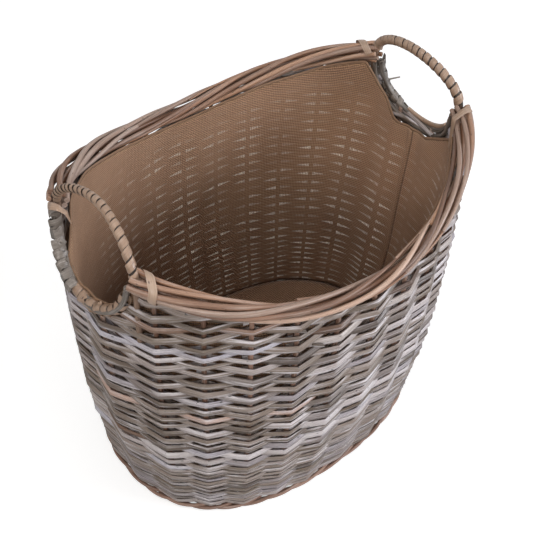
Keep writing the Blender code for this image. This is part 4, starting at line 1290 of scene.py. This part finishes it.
def bow_line(end_name, span, points):
    """Arch of a handle, from the front leg to the back leg, with its outward vectors."""
    front_arc = end_sides(end_name)[0]
    height = float(rim_height(front_arc))
    foot = wall_point(front_arc, height, 0.0)
    turns = np.linspace(span[0] * math.pi, span[1] * math.pi, points)
    climb = np.abs(np.sin(turns)) ** (2 / BOW_ARCH_POWER)
    across = np.sign(np.cos(turns)) * np.abs(np.cos(turns)) ** (2 / BOW_ARCH_POWER)
    outwards = math.copysign(1, foot[0])
    line = np.stack([foot[0] - outwards * BOW_LEAN * climb ** 2, foot[1] * across,
                     height + BOW_RISE * climb], axis=1)
    return line, np.array([outwards, 0, 0])


def make_bows(sizes):
    """Bent rods of the handles with their legs, and the strips wound on them."""
    parts = (slice(LEG_BARE_POINTS - 1, 1 - LEG_BARE_POINTS), slice(None, LEG_BARE_POINTS + 1),
             slice(-1 - LEG_BARE_POINTS, None))
    for end_name, core_radius in BOW_RADII.items():
        line, out = bow_line(end_name, (0.0, 1.0), BOW_POINTS)
        levels = np.linspace(LEG_FOOT, line[0, 2] - LEG_BELOW_BOW, LEG_POINTS)
        front, back = [wall_point(arc, levels, -LEG_SET_IN) for arc in end_sides(end_name)]
        whole = np.concatenate([front, line, back[::-1]])
        thickness = np.full(len(whole), 2 * core_radius - BOW_UNDER_SKEIN)
        thickness[:LEG_POINTS] = LEG_ROD
        thickness[-LEG_POINTS:] = LEG_ROD
        core = Guides()
        # The arch's dark tone is painted shade between the skein's turns; the legs show the rod's own colour
        for part, tone in zip(parts, BOW_TONES):
            core.add(whole[part], out, thickness[part], tone)
        finish_piece(rods(f"{end_name}_bow", core, material(bow_rod), BOW_SIDES),
                     "split_willow", f"bow_{end_name}")
        wound = Guides()
        arch, out = bow_line(end_name, BOW_WOUND_SPAN, BOW_WOUND_POINTS)
        wound.add(arch, out, 1.0, BOW_SKEIN_TONE)
        skein = grow(f"{end_name}_bow_skein", wound, winding_tree, {
            **BOW_WINDING, "Turns": sizes.bow_turns, "Core radius": core_radius,
            "Strip width": sizes.bow_strip, "Finish": material(tan_skein)})
        finish_piece(skein, "tan_skein", f"bow_skein_{end_name}")


def hole_line(end_name, span, points, lift, depth):
    """Line along a hand hole's lower edge, from its front top to its back top."""
    turns = np.linspace(span[0] * math.pi, span[1] * math.pi, points)
    middle, front_side = (0.0, -1) if end_name == "right" else (HALF_ROUND, 1)
    arcs = middle + front_side * (HOLE_HALF_ARC + lift) * np.cos(turns)
    heights = HOLE_TOP_HEIGHT - (HOLE_DEPTH + lift) * np.sin(turns)
    return wall_point(arcs, heights, depth), outward(arcs)


def make_hand_holes(sizes):
    """Rods along the lower edges of the hand holes, wound with wide strips that lie in folds at the back."""
    finishes = {"tan_skein": tan_skein, "grey_skein": grey_skein}
    for end_name in ("left", "right"):
        rng = np.random.default_rng(SEEDS[f"{end_name}_hole"])
        edge = Guides()
        turn = np.linspace(0, HOLE_SWAY_TURN, HOLE_POINTS)
        for lift, depth, size in HOLE_RODS[end_name]:
            sway = HOLE_SWAY * np.sin(turn + rng.uniform(0, PHASE_SPREAD))
            line, out = hole_line(end_name, HOLE_ROD_SPAN, HOLE_POINTS, lift + sway, depth + sway[::-1])
            edge.add(line, out, size, rng.uniform(*HOLE_ROD_TONES))
        if end_name == "right":
            add_twig(edge)
        finish_piece(rods(f"{end_name}_hole_rods", edge, material(grey_skein), HOLE_SIDES), "grey_skein",
                     f"hand_hole_rod_{end_name}")
        for number, (span, thickness, turns, width_share, finish) in enumerate(HOLE_STRIPS[end_name]):
            guides = Guides()
            line, out = hole_line(end_name, span, HOLE_STRIP_POINTS, HOLE_STRIP_LIFT, STRIP_DEPTH[finish])
            guides.add(line, out, thickness, HOLE_STRIP_TONE)
            strip = grow(f"{end_name}_hole_skein_{number + 1}", guides, winding_tree, {
                **HOLE_WINDING, **STRIP_FOLDS[finish], "Turns": turns,
                "Strip width": width_share * sizes.hole_strip, "Finish": material(finishes[finish])})
            finish_piece(strip, "grey_skein", f"hand_hole_skein_{end_name}")
    brown = Guides()
    line, out = hole_line("right", BROWN_ROD_SPAN, BROWN_ROD_POINTS, BROWN_ROD_LIFT, BROWN_ROD_DEPTH)
    brown.add(line, out, np.linspace(*BROWN_ROD, BROWN_ROD_POINTS), BROWN_ROD_TONE)
    finish_piece(rods("right_hole_brown_rod", brown, material(tan_skein), HOLE_SIDES),
                 "grey_skein", "hand_hole_rod_right")


def add_twig(guides):
    """Thin cut twig that stands out of the right-hand hole's edge."""
    steps = np.linspace(0, 1, TWIG_POINTS)[:, None]
    line = wall_point(TWIG_ARC, TWIG_HEIGHT, 0.0) + (outward(0.0) * TWIG_REACH + np.array(TWIG_LEAN)) * steps
    guides.add(line, UP, np.linspace(*TWIG_ROD, TWIG_POINTS), TWIG_TONE)


def lashing_line(leg_arc, towards_side):
    """Strip from the inner side of a handle's foot, over the rim and under it."""
    degrees = np.linspace(LASHING_DEGREES[-1], LASHING_DEGREES[0], LASHING_POINTS)
    turns = np.radians(degrees)
    arcs = leg_arc + towards_side * np.interp(degrees, LASHING_DEGREES, LASHING_SHIFTS)
    order = np.argsort(arcs)
    back = np.argsort(order)
    points, out, up = [values[back] for values in rim_frame(arcs[order])]
    facing = out * np.cos(turns)[:, None] + up * np.sin(turns)[:, None]
    return points + facing * (RIM_ROUND + LASHING_CLEAR), facing


def corner_strip(middle, from_middle, above_rim, past_wall):
    """Flat strip laid slanting over the rim, from its outer side down to the cloth's edge."""
    way = np.linspace(0, 1, STRIP_POINTS)
    arcs = middle - np.interp(way, STRIP_TURN_MARKS, from_middle)
    heights = rim_height(arcs) + np.interp(way, STRIP_MARKS, above_rim)
    depths = np.interp(way, STRIP_MARKS, past_wall)
    lean = np.interp(way, STRIP_TURN_MARKS, STRIP_LEAN)
    facing = outward(arcs) * np.cos(lean)[:, None] + np.array(UP) * np.sin(lean)[:, None]
    return wall_point(arcs, heights, depths), facing


def make_lashings():
    """Flat strips that tie the rim to the handles' feet."""
    finish = material(tan_skein)
    for end_name, middle, outer in (("left", HALF_ROUND, 1), ("right", PERIMETER, -1)):
        front_arc, back_arc = end_sides(end_name)
        for side_name, arc, towards in (("front", front_arc, outer), ("back", back_arc, -outer)):
            if (end_name, side_name) in CORNER_STRIPS:
                line, facing = corner_strip(middle, *CORNER_STRIPS[end_name, side_name])
                tone = STRIP_TONE
            else:
                line, facing = lashing_line(arc, towards)
                tone = LASHING_TONE
            guides = Guides()
            guides.add(line, facing, STRIP_WIDTH, tone)
            finish_piece(rods(f"{side_name}_{end_name}_lashing", guides, finish, STRIP_SIDES, STRIP_FLATNESS),
                         "tan_skein", f"lashing_{side_name}_{end_name}")


def make_foot():
    """Thick rods twisted round the bottom edge, with one more behind them."""
    rng = np.random.default_rng(SEEDS["foot"])
    guides = Guides()
    arcs = np.linspace(0, PERIMETER, FOOT_POINTS)
    out = outward(arcs)
    for strand in range(FOOT_STRANDS):
        turn = 2 * math.pi * (strand / FOOT_STRANDS + arcs / PERIMETER * FOOT_TURNS)
        depth = FOOT_DEPTH + FOOT_REACH_OUT * np.cos(turn)
        height = FOOT_HEIGHT + FOOT_REACH_UP * np.sin(turn)
        guides.add(wall_point(arcs, height, depth), out, FOOT_STRAND, rng.random())
    guides.add(wall_point(arcs, FOOT_INNER_HEIGHT, FOOT_INNER_DEPTH), out, FOOT_INNER_ROD, FOOT_INNER_TONE)
    finish_piece(rods("foot_rods", guides, material(brown_willow), FOOT_SIDES),
                 "brown_willow", "foot_border")


def stick_marks(turns, half_length, half_width):
    """Number of base sticks passed at each turn of an oval row, with its parts between them."""
    crossing = [math.acos(min(1, x / half_length)) for x in BASE_CROSS_STICKS if x < half_length]
    crossing += [math.asin(min(1, y / half_width)) for y in BASE_LONG_STICKS if y < half_width]
    marks = sorted({round(mark, BASE_MARK_DIGITS) for turn in crossing
                    for mark in (turn, math.pi - turn, math.pi + turn, 2 * math.pi - turn)})
    return np.interp(turns, marks, np.arange(len(marks)))


def make_base():
    """Oval rows of fine rods, woven over and under the base sticks."""
    rng = np.random.default_rng(SEEDS["base"])
    guides = Guides()
    turns = np.linspace(0, 2 * math.pi, BASE_POINTS)
    half_length, half_width = BASE_HALF_LENGTH - BASE_SET_IN, BASE_HALF_WIDTH - BASE_SET_IN
    row = 0
    while half_width > BASE_PITCH:
        plan = oval(turns, half_length, half_width, BASE_PLAN_POWER)
        phase = stick_marks(turns, half_length, half_width)
        height = BASE_HEIGHT + BASE_PASS * np.cos(math.pi * (phase + row))
        guides.add(np.concatenate([plan, height[:, None]], axis=1), DOWN, BASE_ROD, rng.random())
        half_length -= BASE_PITCH
        half_width -= BASE_PITCH
        row += 1
    middle = [(x, 0.0, BASE_HEIGHT) for x in np.linspace(-half_length, half_length, BASE_MIDDLE_POINTS)]
    guides.add(middle, DOWN, BASE_MIDDLE_ROD, BASE_MIDDLE_TONE)
    finish_piece(rods("base_rods", guides, material(washed_willow), BASE_SIDES),
                 "grey_willow", "base_weave")
    for name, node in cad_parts.items():
        if name.startswith("base_") and name != "base_weave":
            dress(node, material(split_wood))


def dress(node, finish):
    """Give a solid part its finish."""
    for slot in node.material_slots:
        slot.material = finish


def liner_columns():
    """Places round the liner, closer together at its seams."""
    even = np.linspace(0, PERIMETER, LINER_COLUMNS + 1)[:-1]
    near = [seam + step for seam in liner_seams() for step in SEAM_STEPS]
    return np.unique(np.mod(np.concatenate([even, near]), PERIMETER))


def liner_seams():
    """The upright seam in the middle of each end."""
    return [share * PERIMETER for share in SEAM_SHARES]


def nearer_end(arc, values):
    """Each place's value out of those of the left and right ends."""
    to_right = np.abs(np.mod(arc + HALF_ROUND, PERIMETER) - HALF_ROUND)
    return np.where(to_right < HALF_ROUND / 2, values["right"], values["left"])


def from_seam(arcs, seam):
    """How far each place is from a seam, along the wall."""
    return np.abs(np.mod(arcs - seam + HALF_ROUND, PERIMETER) - HALF_ROUND)


def seam_share(arcs):
    """1 on a seam, falling to 0 just beside it."""
    return sum(np.exp(-(from_seam(arcs, seam) / SEAM_LENGTH) ** 2) for seam in liner_seams())


def liner_top(arc):
    """Top edge of the cloth: under the rim, and cut down at the hand holes."""
    side = rim_height(arc) - LINER_RIM_TUCK
    offset = np.mod(arc + HALF_ROUND / 2, HALF_ROUND) - HALF_ROUND / 2
    cut = {name: np.interp(offset, *zip(*places), left=NO_CUT_HEIGHT, right=NO_CUT_HEIGHT)
           for name, places in LINER_EDGE.items()}
    return np.minimum(side, nearer_end(arc, cut))


def liner_depth(arcs, shares):
    """How far in the cloth lies: loose waves, a crease at each seam, leaning out at a hand hole's edge."""
    loose = sum(size * np.sin(arcs * along + shares * upwards + phase)
                for size, along, upwards, phase in LINER_WAVES)
    crease = sum(size * np.exp(-(from_seam(arcs, seam) / length) ** 2)
                 for seam in liner_seams() for size, length in SEAM_CREASES)
    under_edge = (1 - shares) * (liner_top(arcs) - LINER_FLOOR)
    from_bulge = (arcs - HALF_ROUND + LINER_BULGE_PLACE) / LINER_BULGE_LENGTH
    bulge = LINER_BULGE * np.exp(-from_bulge ** 2)
    out = nearer_end(arcs, LINER_LEAN_OUT) * hole_share(arcs) + bulge
    lean = out * np.exp(-under_edge / LINER_LEAN_HEIGHT)
    from_fold = (from_seam(arcs, liner_seams()[0]) - SEAM_FOLD_PLACE) / SEAM_FOLD_LENGTH
    fold = SEAM_FOLD * np.exp(-from_fold ** 2)
    return -LINER_SET_IN + np.minimum(loose, LINER_WAVE_LIMIT) * LINER_WAVE_SHARE + crease + lean - fold


def hole_share(arcs):
    """1 in the middle of a hand hole, falling to 0 at its sides."""
    return np.clip(HOLE_SHARE_RISE * (1 - from_nearest_end(arcs) / HOLE_HALF_ARC), 0, 1)


def cloth_piece(name, points, faces, maps, finish, values=None):
    """Sheet with its thickness, UV maps given for each corner of each face, and values for its points."""
    mesh = bpy.data.meshes.new(name)
    mesh.from_pydata(points.tolist(), [], faces)
    for label, corners in maps.items():
        layer = mesh.uv_layers.new(name=label)
        layer.data.foreach_set("uv", np.array([corner for face in corners for corner in face]).ravel())
    for label, value in (values or {}).items():
        mesh.attributes.new(label, "FLOAT", "POINT").data.foreach_set("value", value.ravel())
    mesh.shade_smooth()
    mesh.materials.append(finish)
    source = new_object(name, mesh)
    thick = source.modifiers.new("cloth", "SOLIDIFY")
    thick.thickness = CLOTH_THICKNESS
    thick.offset = 0
    return plain_mesh(source, name)


def mark_inner_side(mesh):
    """Mark the faces of an upright sheet that look towards the middle of the carrier."""
    places = np.array([face.center for face in mesh.polygons])
    normals = np.array([face.normal for face in mesh.polygons])
    inner = np.sum(places[:, :2] * normals[:, :2], axis=1) < 0
    mesh.attributes.new("inner", "FLOAT", "FACE").data.foreach_set("value", inner.astype(float))


def bay_place(arcs, heights):
    """Stake number and pair of rows behind each place of the cloth."""
    ring = np.concatenate([[STAKES[-1] - PERIMETER], STAKES, [STAKES[0] + PERIMETER]])
    turns = np.floor_divide(arcs, PERIMETER)
    stake = np.interp(arcs - turns * PERIMETER, ring, np.arange(len(ring)) - 1.0) + turns * len(STAKES)
    fine_pair = 2 * (FINE_TOP - FINE_BOTTOM) / FINE_ROWS
    coarse_pair = 2 * (COARSE_TOP - FINE_TOP) / COARSE_ROWS
    pair = np.where(heights < FINE_TOP, fine_pair, coarse_pair)
    return np.stack([stake, (heights - FINE_TOP) / pair], axis=-1)


def make_liner_wall():
    """Cloth round the inside of the wall."""
    arcs = liner_columns()
    shares = np.linspace(0, 1, LINER_ROWS)
    grid_arcs, grid_shares = np.meshgrid(arcs, shares, indexing="ij")
    tops = liner_top(arcs)[:, None]
    heights = LINER_FLOOR + (tops - LINER_FLOOR) * grid_shares
    points = wall_point(grid_arcs, heights, liner_depth(grid_arcs, grid_shares)).reshape(-1, 3)
    following = np.append(arcs[1:], arcs[0] + PERIMETER)
    bays = bay_place(grid_arcs, heights)
    bays_after = bay_place(np.tile(following[:, None], (1, LINER_ROWS)), np.roll(heights, -1, axis=0))
    faces, cloth, bay_map = [], [], []
    for column in range(len(arcs)):
        after = (column + 1) % len(arcs)
        for row in range(LINER_ROWS - 1):
            faces.append((column * LINER_ROWS + row, column * LINER_ROWS + row + 1,
                          after * LINER_ROWS + row + 1, after * LINER_ROWS + row))
            cloth.append(((arcs[column], heights[column, row]), (arcs[column], heights[column, row + 1]),
                          (following[column], heights[after, row + 1]),
                          (following[column], heights[after, row])))
            bay_map.append((bays[column, row], bays[column, row + 1],
                            bays_after[column, row + 1], bays_after[column, row]))
    # Painted light: strongest at the top of the cloth in the hand holes, fading downwards
    worn = hole_share(grid_arcs) * np.exp(-(tops - heights) / EDGE_LIGHT_DEPTH)
    piece = cloth_piece("hessian_wall", points, faces, {"cloth": cloth, "bays": bay_map},
                        material(hessian, True), {"worn": worn, "below_edge": tops - heights,
                                                  "seam": seam_share(grid_arcs)})
    mark_inner_side(piece.data)
    finish_piece(piece, "hessian", "liner_wall")
    widths = following - arcs
    area = float(np.sum(widths * (tops[:, 0] - LINER_FLOOR))) * CLOTH_AREA_SHARE
    return piece, area


def make_liner_hem():
    """Turned edge of the cloth along its top."""
    guides = Guides()
    arcs = np.linspace(0, PERIMETER, HEM_POINTS)
    depth = liner_depth(arcs, np.ones_like(arcs))
    guides.add(wall_point(arcs, liner_top(arcs), depth), outward(arcs), HEM_ROD, HEM_TONE)
    piece = rods("hessian_hem", guides, material(hem_cloth), HEM_SIDES, HEM_FLATNESS)
    return finish_piece(piece, "hessian")


def make_liner_floor():
    """Cloth on the base."""
    arcs = np.linspace(0, PERIMETER, FLOOR_SIDES + 1)[:-1]
    edge = wall_point(arcs, LINER_FLOOR, -LINER_SET_IN - FLOOR_LIFT)
    points = [np.array([[0.0, 0.0, LINER_FLOOR + FLOOR_LIFT]])]
    for share in np.arange(1, FLOOR_RINGS + 1) / FLOOR_RINGS:
        ring = edge * share
        rise = FLOOR_WAVE * np.sin(ring[:, 0] * FLOOR_WAVES[0]) * np.cos(ring[:, 1] * FLOOR_WAVES[1])
        ring[:, 2] = LINER_FLOOR + FLOOR_LIFT + rise * (1 - share)
        points.append(ring)
    points = np.concatenate(points)
    sides = [(side, (side + 1) % FLOOR_SIDES) for side in range(FLOOR_SIDES)]
    faces = [(0, 1 + side, 1 + after) for side, after in sides]
    for low in range(1, 1 + (FLOOR_RINGS - 1) * FLOOR_SIDES, FLOOR_SIDES):
        high = low + FLOOR_SIDES
        faces += [(low + side, high + side, high + after, low + after) for side, after in sides]
    uvs = [[tuple(points[index, :2]) for index in face] for face in faces]
    piece = cloth_piece("hessian_floor", points, faces, {"cloth": uvs}, material(hessian, False))
    finish_piece(piece, "hessian", "liner_bottom")


def make_liner():
    """Wall, hem and floor of the liner."""
    wall, area = make_liner_wall()
    hem = make_liner_hem()
    make_liner_floor()


def make_floor():
    """Pale floor that keeps the carrier's shadow."""
    mesh = bpy.data.meshes.new("floor")
    corners = [(x * STAGE_HALF, y * STAGE_HALF, 0) for x, y in ((-1, -1), (1, -1), (1, 1), (-1, 1))]
    mesh.from_pydata(corners, [], [(0, 1, 2, 3)])
    pale, tree, shader = new_material("pale_floor", STAGE_ROUGHNESS)
    shader.inputs["Base Color"].default_value = (*bpy.context.scene.carrier_colours.floor, 1.0)
    seen = add_node(tree, "ShaderNodeLightPath").outputs["Is Camera Ray"]
    place = add_node(tree, "ShaderNodeTexCoord").outputs["Object"]
    away = add_node(tree, "ShaderNodeVectorMath", {0: place}, operation="LENGTH").outputs["Value"]
    strength = calculate(tree, "MULTIPLY", seen, ranged(tree, away, STAGE_GLOW_SPAN))
    glow = add_node(tree, "ShaderNodeEmission", {"Color": WHITE, "Strength": strength})
    both = add_node(tree, "ShaderNodeAddShader", {0: shader.outputs[0], 1: glow.outputs[0]})
    tree.links.new(both.outputs[0], tree.nodes["Material Output"].inputs["Surface"])
    mesh.materials.append(pale)
    new_object("floor", mesh)


def make_lamp(name, place, size, power, colour):
    """Soft square lamp turned towards the carrier."""
    data = bpy.data.lights.new(name, "AREA")
    data.size = size
    data.energy = power
    data.color = colour
    lamp = new_object(name, data)
    lamp.location = place
    aim = Vector(LAMP_AIM) - Vector(place)
    lamp.rotation_euler = aim.to_track_quat("-Z", "Y").to_euler()


def make_world(strength):
    """Pale surroundings, white where the camera sees them."""
    world = bpy.data.worlds.new("studio")
    world.use_nodes = True
    tree = world.node_tree
    background = tree.nodes["Background"]
    background.inputs["Color"].default_value = WHITE
    path = add_node(tree, "ShaderNodeLightPath").outputs
    shown = calculate(tree, "MAXIMUM", path["Is Camera Ray"], calculate(
        tree, "MAXIMUM", path["Is Transmission Ray"], path["Is Glossy Ray"]))
    level = calculate(tree, "MULTIPLY_ADD", shown, 1.0 - strength, strength)
    tree.links.new(level, background.inputs["Strength"])
    bpy.context.scene.world = world


def make_camera():
    """Camera at the photograph's viewpoint."""
    data = bpy.data.cameras.new("camera")
    data.lens = CAMERA_LENS
    data.sensor_width = CAMERA_SENSOR
    right, up = Vector(CAMERA_RIGHT), Vector(CAMERA_UP)
    turned = Matrix((right, up, right.cross(up))).transposed()
    camera = new_object("camera", data)
    camera.location = CAMERA_PLACE
    camera.rotation_mode = "QUATERNION"
    camera.rotation_quaternion = turned.to_quaternion()
    bpy.context.scene.camera = camera


class CarrierSizes(bpy.types.PropertyGroup):
    """Sizes of the willow and how it is worked."""

    weave_seed: bpy.props.IntProperty(
        name="Weave seed", description="Order of the rods in the wall", default=4)
    weave_set_in: bpy.props.FloatProperty(
        name="Weave set in", description="Middle of the weave inside the wall's middle surface",
        default=0.0024, unit="LENGTH")
    rod_fill: bpy.props.FloatProperty(
        name="Rod fill", description="Share of a row's height that its rod fills", default=1.10)
    rod_flatness: bpy.props.FloatProperty(
        name="Rod flatness", description="Depth of a wall rod as a share of its height", default=0.64)
    bow_turns: bpy.props.FloatProperty(
        name="Bow turns", description="Turns of skein on a handle", default=21.0)
    bow_strip: bpy.props.FloatProperty(
        name="Bow strip width", description="Width of the handle's skein", default=0.0069, unit="LENGTH")
    hole_strip: bpy.props.FloatProperty(
        name="Hole strip width", description="Width of the hand hole's skein", default=0.0116, unit="LENGTH")


class CarrierColours(bpy.types.PropertyGroup):
    """Middle tones of the willow, the cloth and the floor."""

    wall_rods: bpy.props.FloatVectorProperty(
        name="Wall rods", description="Washed rods of the wall and the base", subtype="COLOR",
        min=0.0, max=1.0, default=COLOURS["wall_rods"])
    brown_rods: bpy.props.FloatVectorProperty(
        name="Stakes and foot", description="Brown rods of the stakes and the foot", subtype="COLOR",
        min=0.0, max=1.0, default=COLOURS["brown_rods"])
    rim_rods: bpy.props.FloatVectorProperty(
        name="Rim rods", description="Tan rods of the rim", subtype="COLOR",
        min=0.0, max=1.0, default=COLOURS["rim_rods"])
    skein: bpy.props.FloatVectorProperty(
        name="Skein", description="Split skein of the handles and the lashings", subtype="COLOR",
        min=0.0, max=1.0, default=COLOURS["skein"])
    cloth: bpy.props.FloatVectorProperty(
        name="Cloth", description="Threads of the hessian liner", subtype="COLOR",
        min=0.0, max=1.0, default=COLOURS["cloth"])
    floor: bpy.props.FloatVectorProperty(
        name="Floor", description="Floor under the carrier", subtype="COLOR",
        min=0.0, max=1.0, default=COLOURS["floor"])


class CarrierLight(bpy.types.PropertyGroup):
    """Studio light."""

    surroundings: bpy.props.FloatProperty(
        name="Surroundings", description="Strength of the light from all round", default=0.22)
    key_power: bpy.props.FloatProperty(
        name="Key lamp", description="Power of the lamp on the right", default=58.0, unit="POWER")
    fill_power: bpy.props.FloatProperty(
        name="Fill lamp", description="Power of the lamp on the left", default=26.0, unit="POWER")
    top_power: bpy.props.FloatProperty(
        name="Top lamp", description="Power of the lamp overhead", default=20.0, unit="POWER")


class CARRIER_OT_foot_and_base(bpy.types.Operator):
    """Twist the foot border and weave the base"""

    bl_idname = "carrier.foot_and_base"
    bl_label = "Foot and base"

    def execute(self, context):
        make_foot()
        make_base()
        return {"FINISHED"}


class CARRIER_OT_stakes(bpy.types.Operator):
    """Stand the stakes on the foot"""

    bl_idname = "carrier.stakes"
    bl_label = "Stakes"

    def execute(self, context):
        make_stakes(context.scene.carrier_sizes)
        return {"FINISHED"}


class CARRIER_OT_weave(bpy.types.Operator):
    """Rand the three bands of the wall"""

    bl_idname = "carrier.weave"
    bl_label = "Weave"

    def execute(self, context):
        make_weave(context.scene.carrier_sizes)
        return {"FINISHED"}


class CARRIER_OT_rim(bpy.types.Operator):
    """Twist the rim rods along both sides"""

    bl_idname = "carrier.rim"
    bl_label = "Rim"

    def execute(self, context):
        make_rim()
        return {"FINISHED"}


class CARRIER_OT_bows(bpy.types.Operator):
    """Bend the handles and wind their skeins"""

    bl_idname = "carrier.bows"
    bl_label = "Bow handles"

    def execute(self, context):
        make_bows(context.scene.carrier_sizes)
        return {"FINISHED"}


class CARRIER_OT_hand_holes(bpy.types.Operator):
    """Wind the edges of the hand holes"""

    bl_idname = "carrier.hand_holes"
    bl_label = "Hand holes"

    def execute(self, context):
        make_hand_holes(context.scene.carrier_sizes)
        return {"FINISHED"}


class CARRIER_OT_lashings(bpy.types.Operator):
    """Tie the rim beside the handles' feet"""

    bl_idname = "carrier.lashings"
    bl_label = "Lashings"

    def execute(self, context):
        make_lashings()
        return {"FINISHED"}


class CARRIER_OT_liner(bpy.types.Operator):
    """Hang the hessian liner"""

    bl_idname = "carrier.liner"
    bl_label = "Liner"

    def execute(self, context):
        make_liner()
        return {"FINISHED"}


class CARRIER_OT_stage(bpy.types.Operator):
    """Set the floor, the light and the camera"""

    bl_idname = "carrier.stage"
    bl_label = "Stage"

    def execute(self, context):
        light = context.scene.carrier_light
        make_floor()
        make_world(light.surroundings)
        for name, (power, place, size, colour) in LAMPS.items():
            make_lamp(name, place, size, getattr(light, power), colour)
        make_camera()
        context.scene.view_settings.view_transform = "Standard"
        return {"FINISHED"}


class CARRIER_PT_panel(bpy.types.Panel):
    """Lists the steps in the sidebar"""

    bl_label = "Log carrier"
    bl_space_type = "VIEW_3D"
    bl_region_type = "UI"
    bl_category = "Log carrier"

    def draw(self, context):
        scene = context.scene
        for group in (scene.carrier_sizes, scene.carrier_colours, scene.carrier_light):
            for name in group.__annotations__:
                self.layout.prop(group, name)
        for step in STEPS:
            self.layout.operator(step.bl_idname)


STEPS = (
    CARRIER_OT_foot_and_base,
    CARRIER_OT_stakes,
    CARRIER_OT_weave,
    CARRIER_OT_rim,
    CARRIER_OT_bows,
    CARRIER_OT_hand_holes,
    CARRIER_OT_lashings,
    CARRIER_OT_liner,
    CARRIER_OT_stage,
)
CLASSES = (CarrierSizes, CarrierColours, CarrierLight, *STEPS, CARRIER_PT_panel)


def register():
    """Add the carrier's settings, steps and panel."""
    for item in CLASSES:
        bpy.utils.register_class(item)
    bpy.types.Scene.carrier_sizes = bpy.props.PointerProperty(type=CarrierSizes)
    bpy.types.Scene.carrier_colours = bpy.props.PointerProperty(type=CarrierColours)
    bpy.types.Scene.carrier_light = bpy.props.PointerProperty(type=CarrierLight)


def unregister():
    """Take them out again."""
    del bpy.types.Scene.carrier_light
    del bpy.types.Scene.carrier_colours
    del bpy.types.Scene.carrier_sizes
    for item in reversed(CLASSES):
        bpy.utils.unregister_class(item)


def main():
    """Build every piece in order."""
    register()
    bpy.ops.carrier.foot_and_base()
    bpy.ops.carrier.stakes()
    bpy.ops.carrier.weave()
    bpy.ops.carrier.rim()
    bpy.ops.carrier.bows()
    bpy.ops.carrier.hand_holes()
    bpy.ops.carrier.lashings()
    bpy.ops.carrier.liner()
    bpy.ops.carrier.stage()


if __name__ == "__main__":
    main()
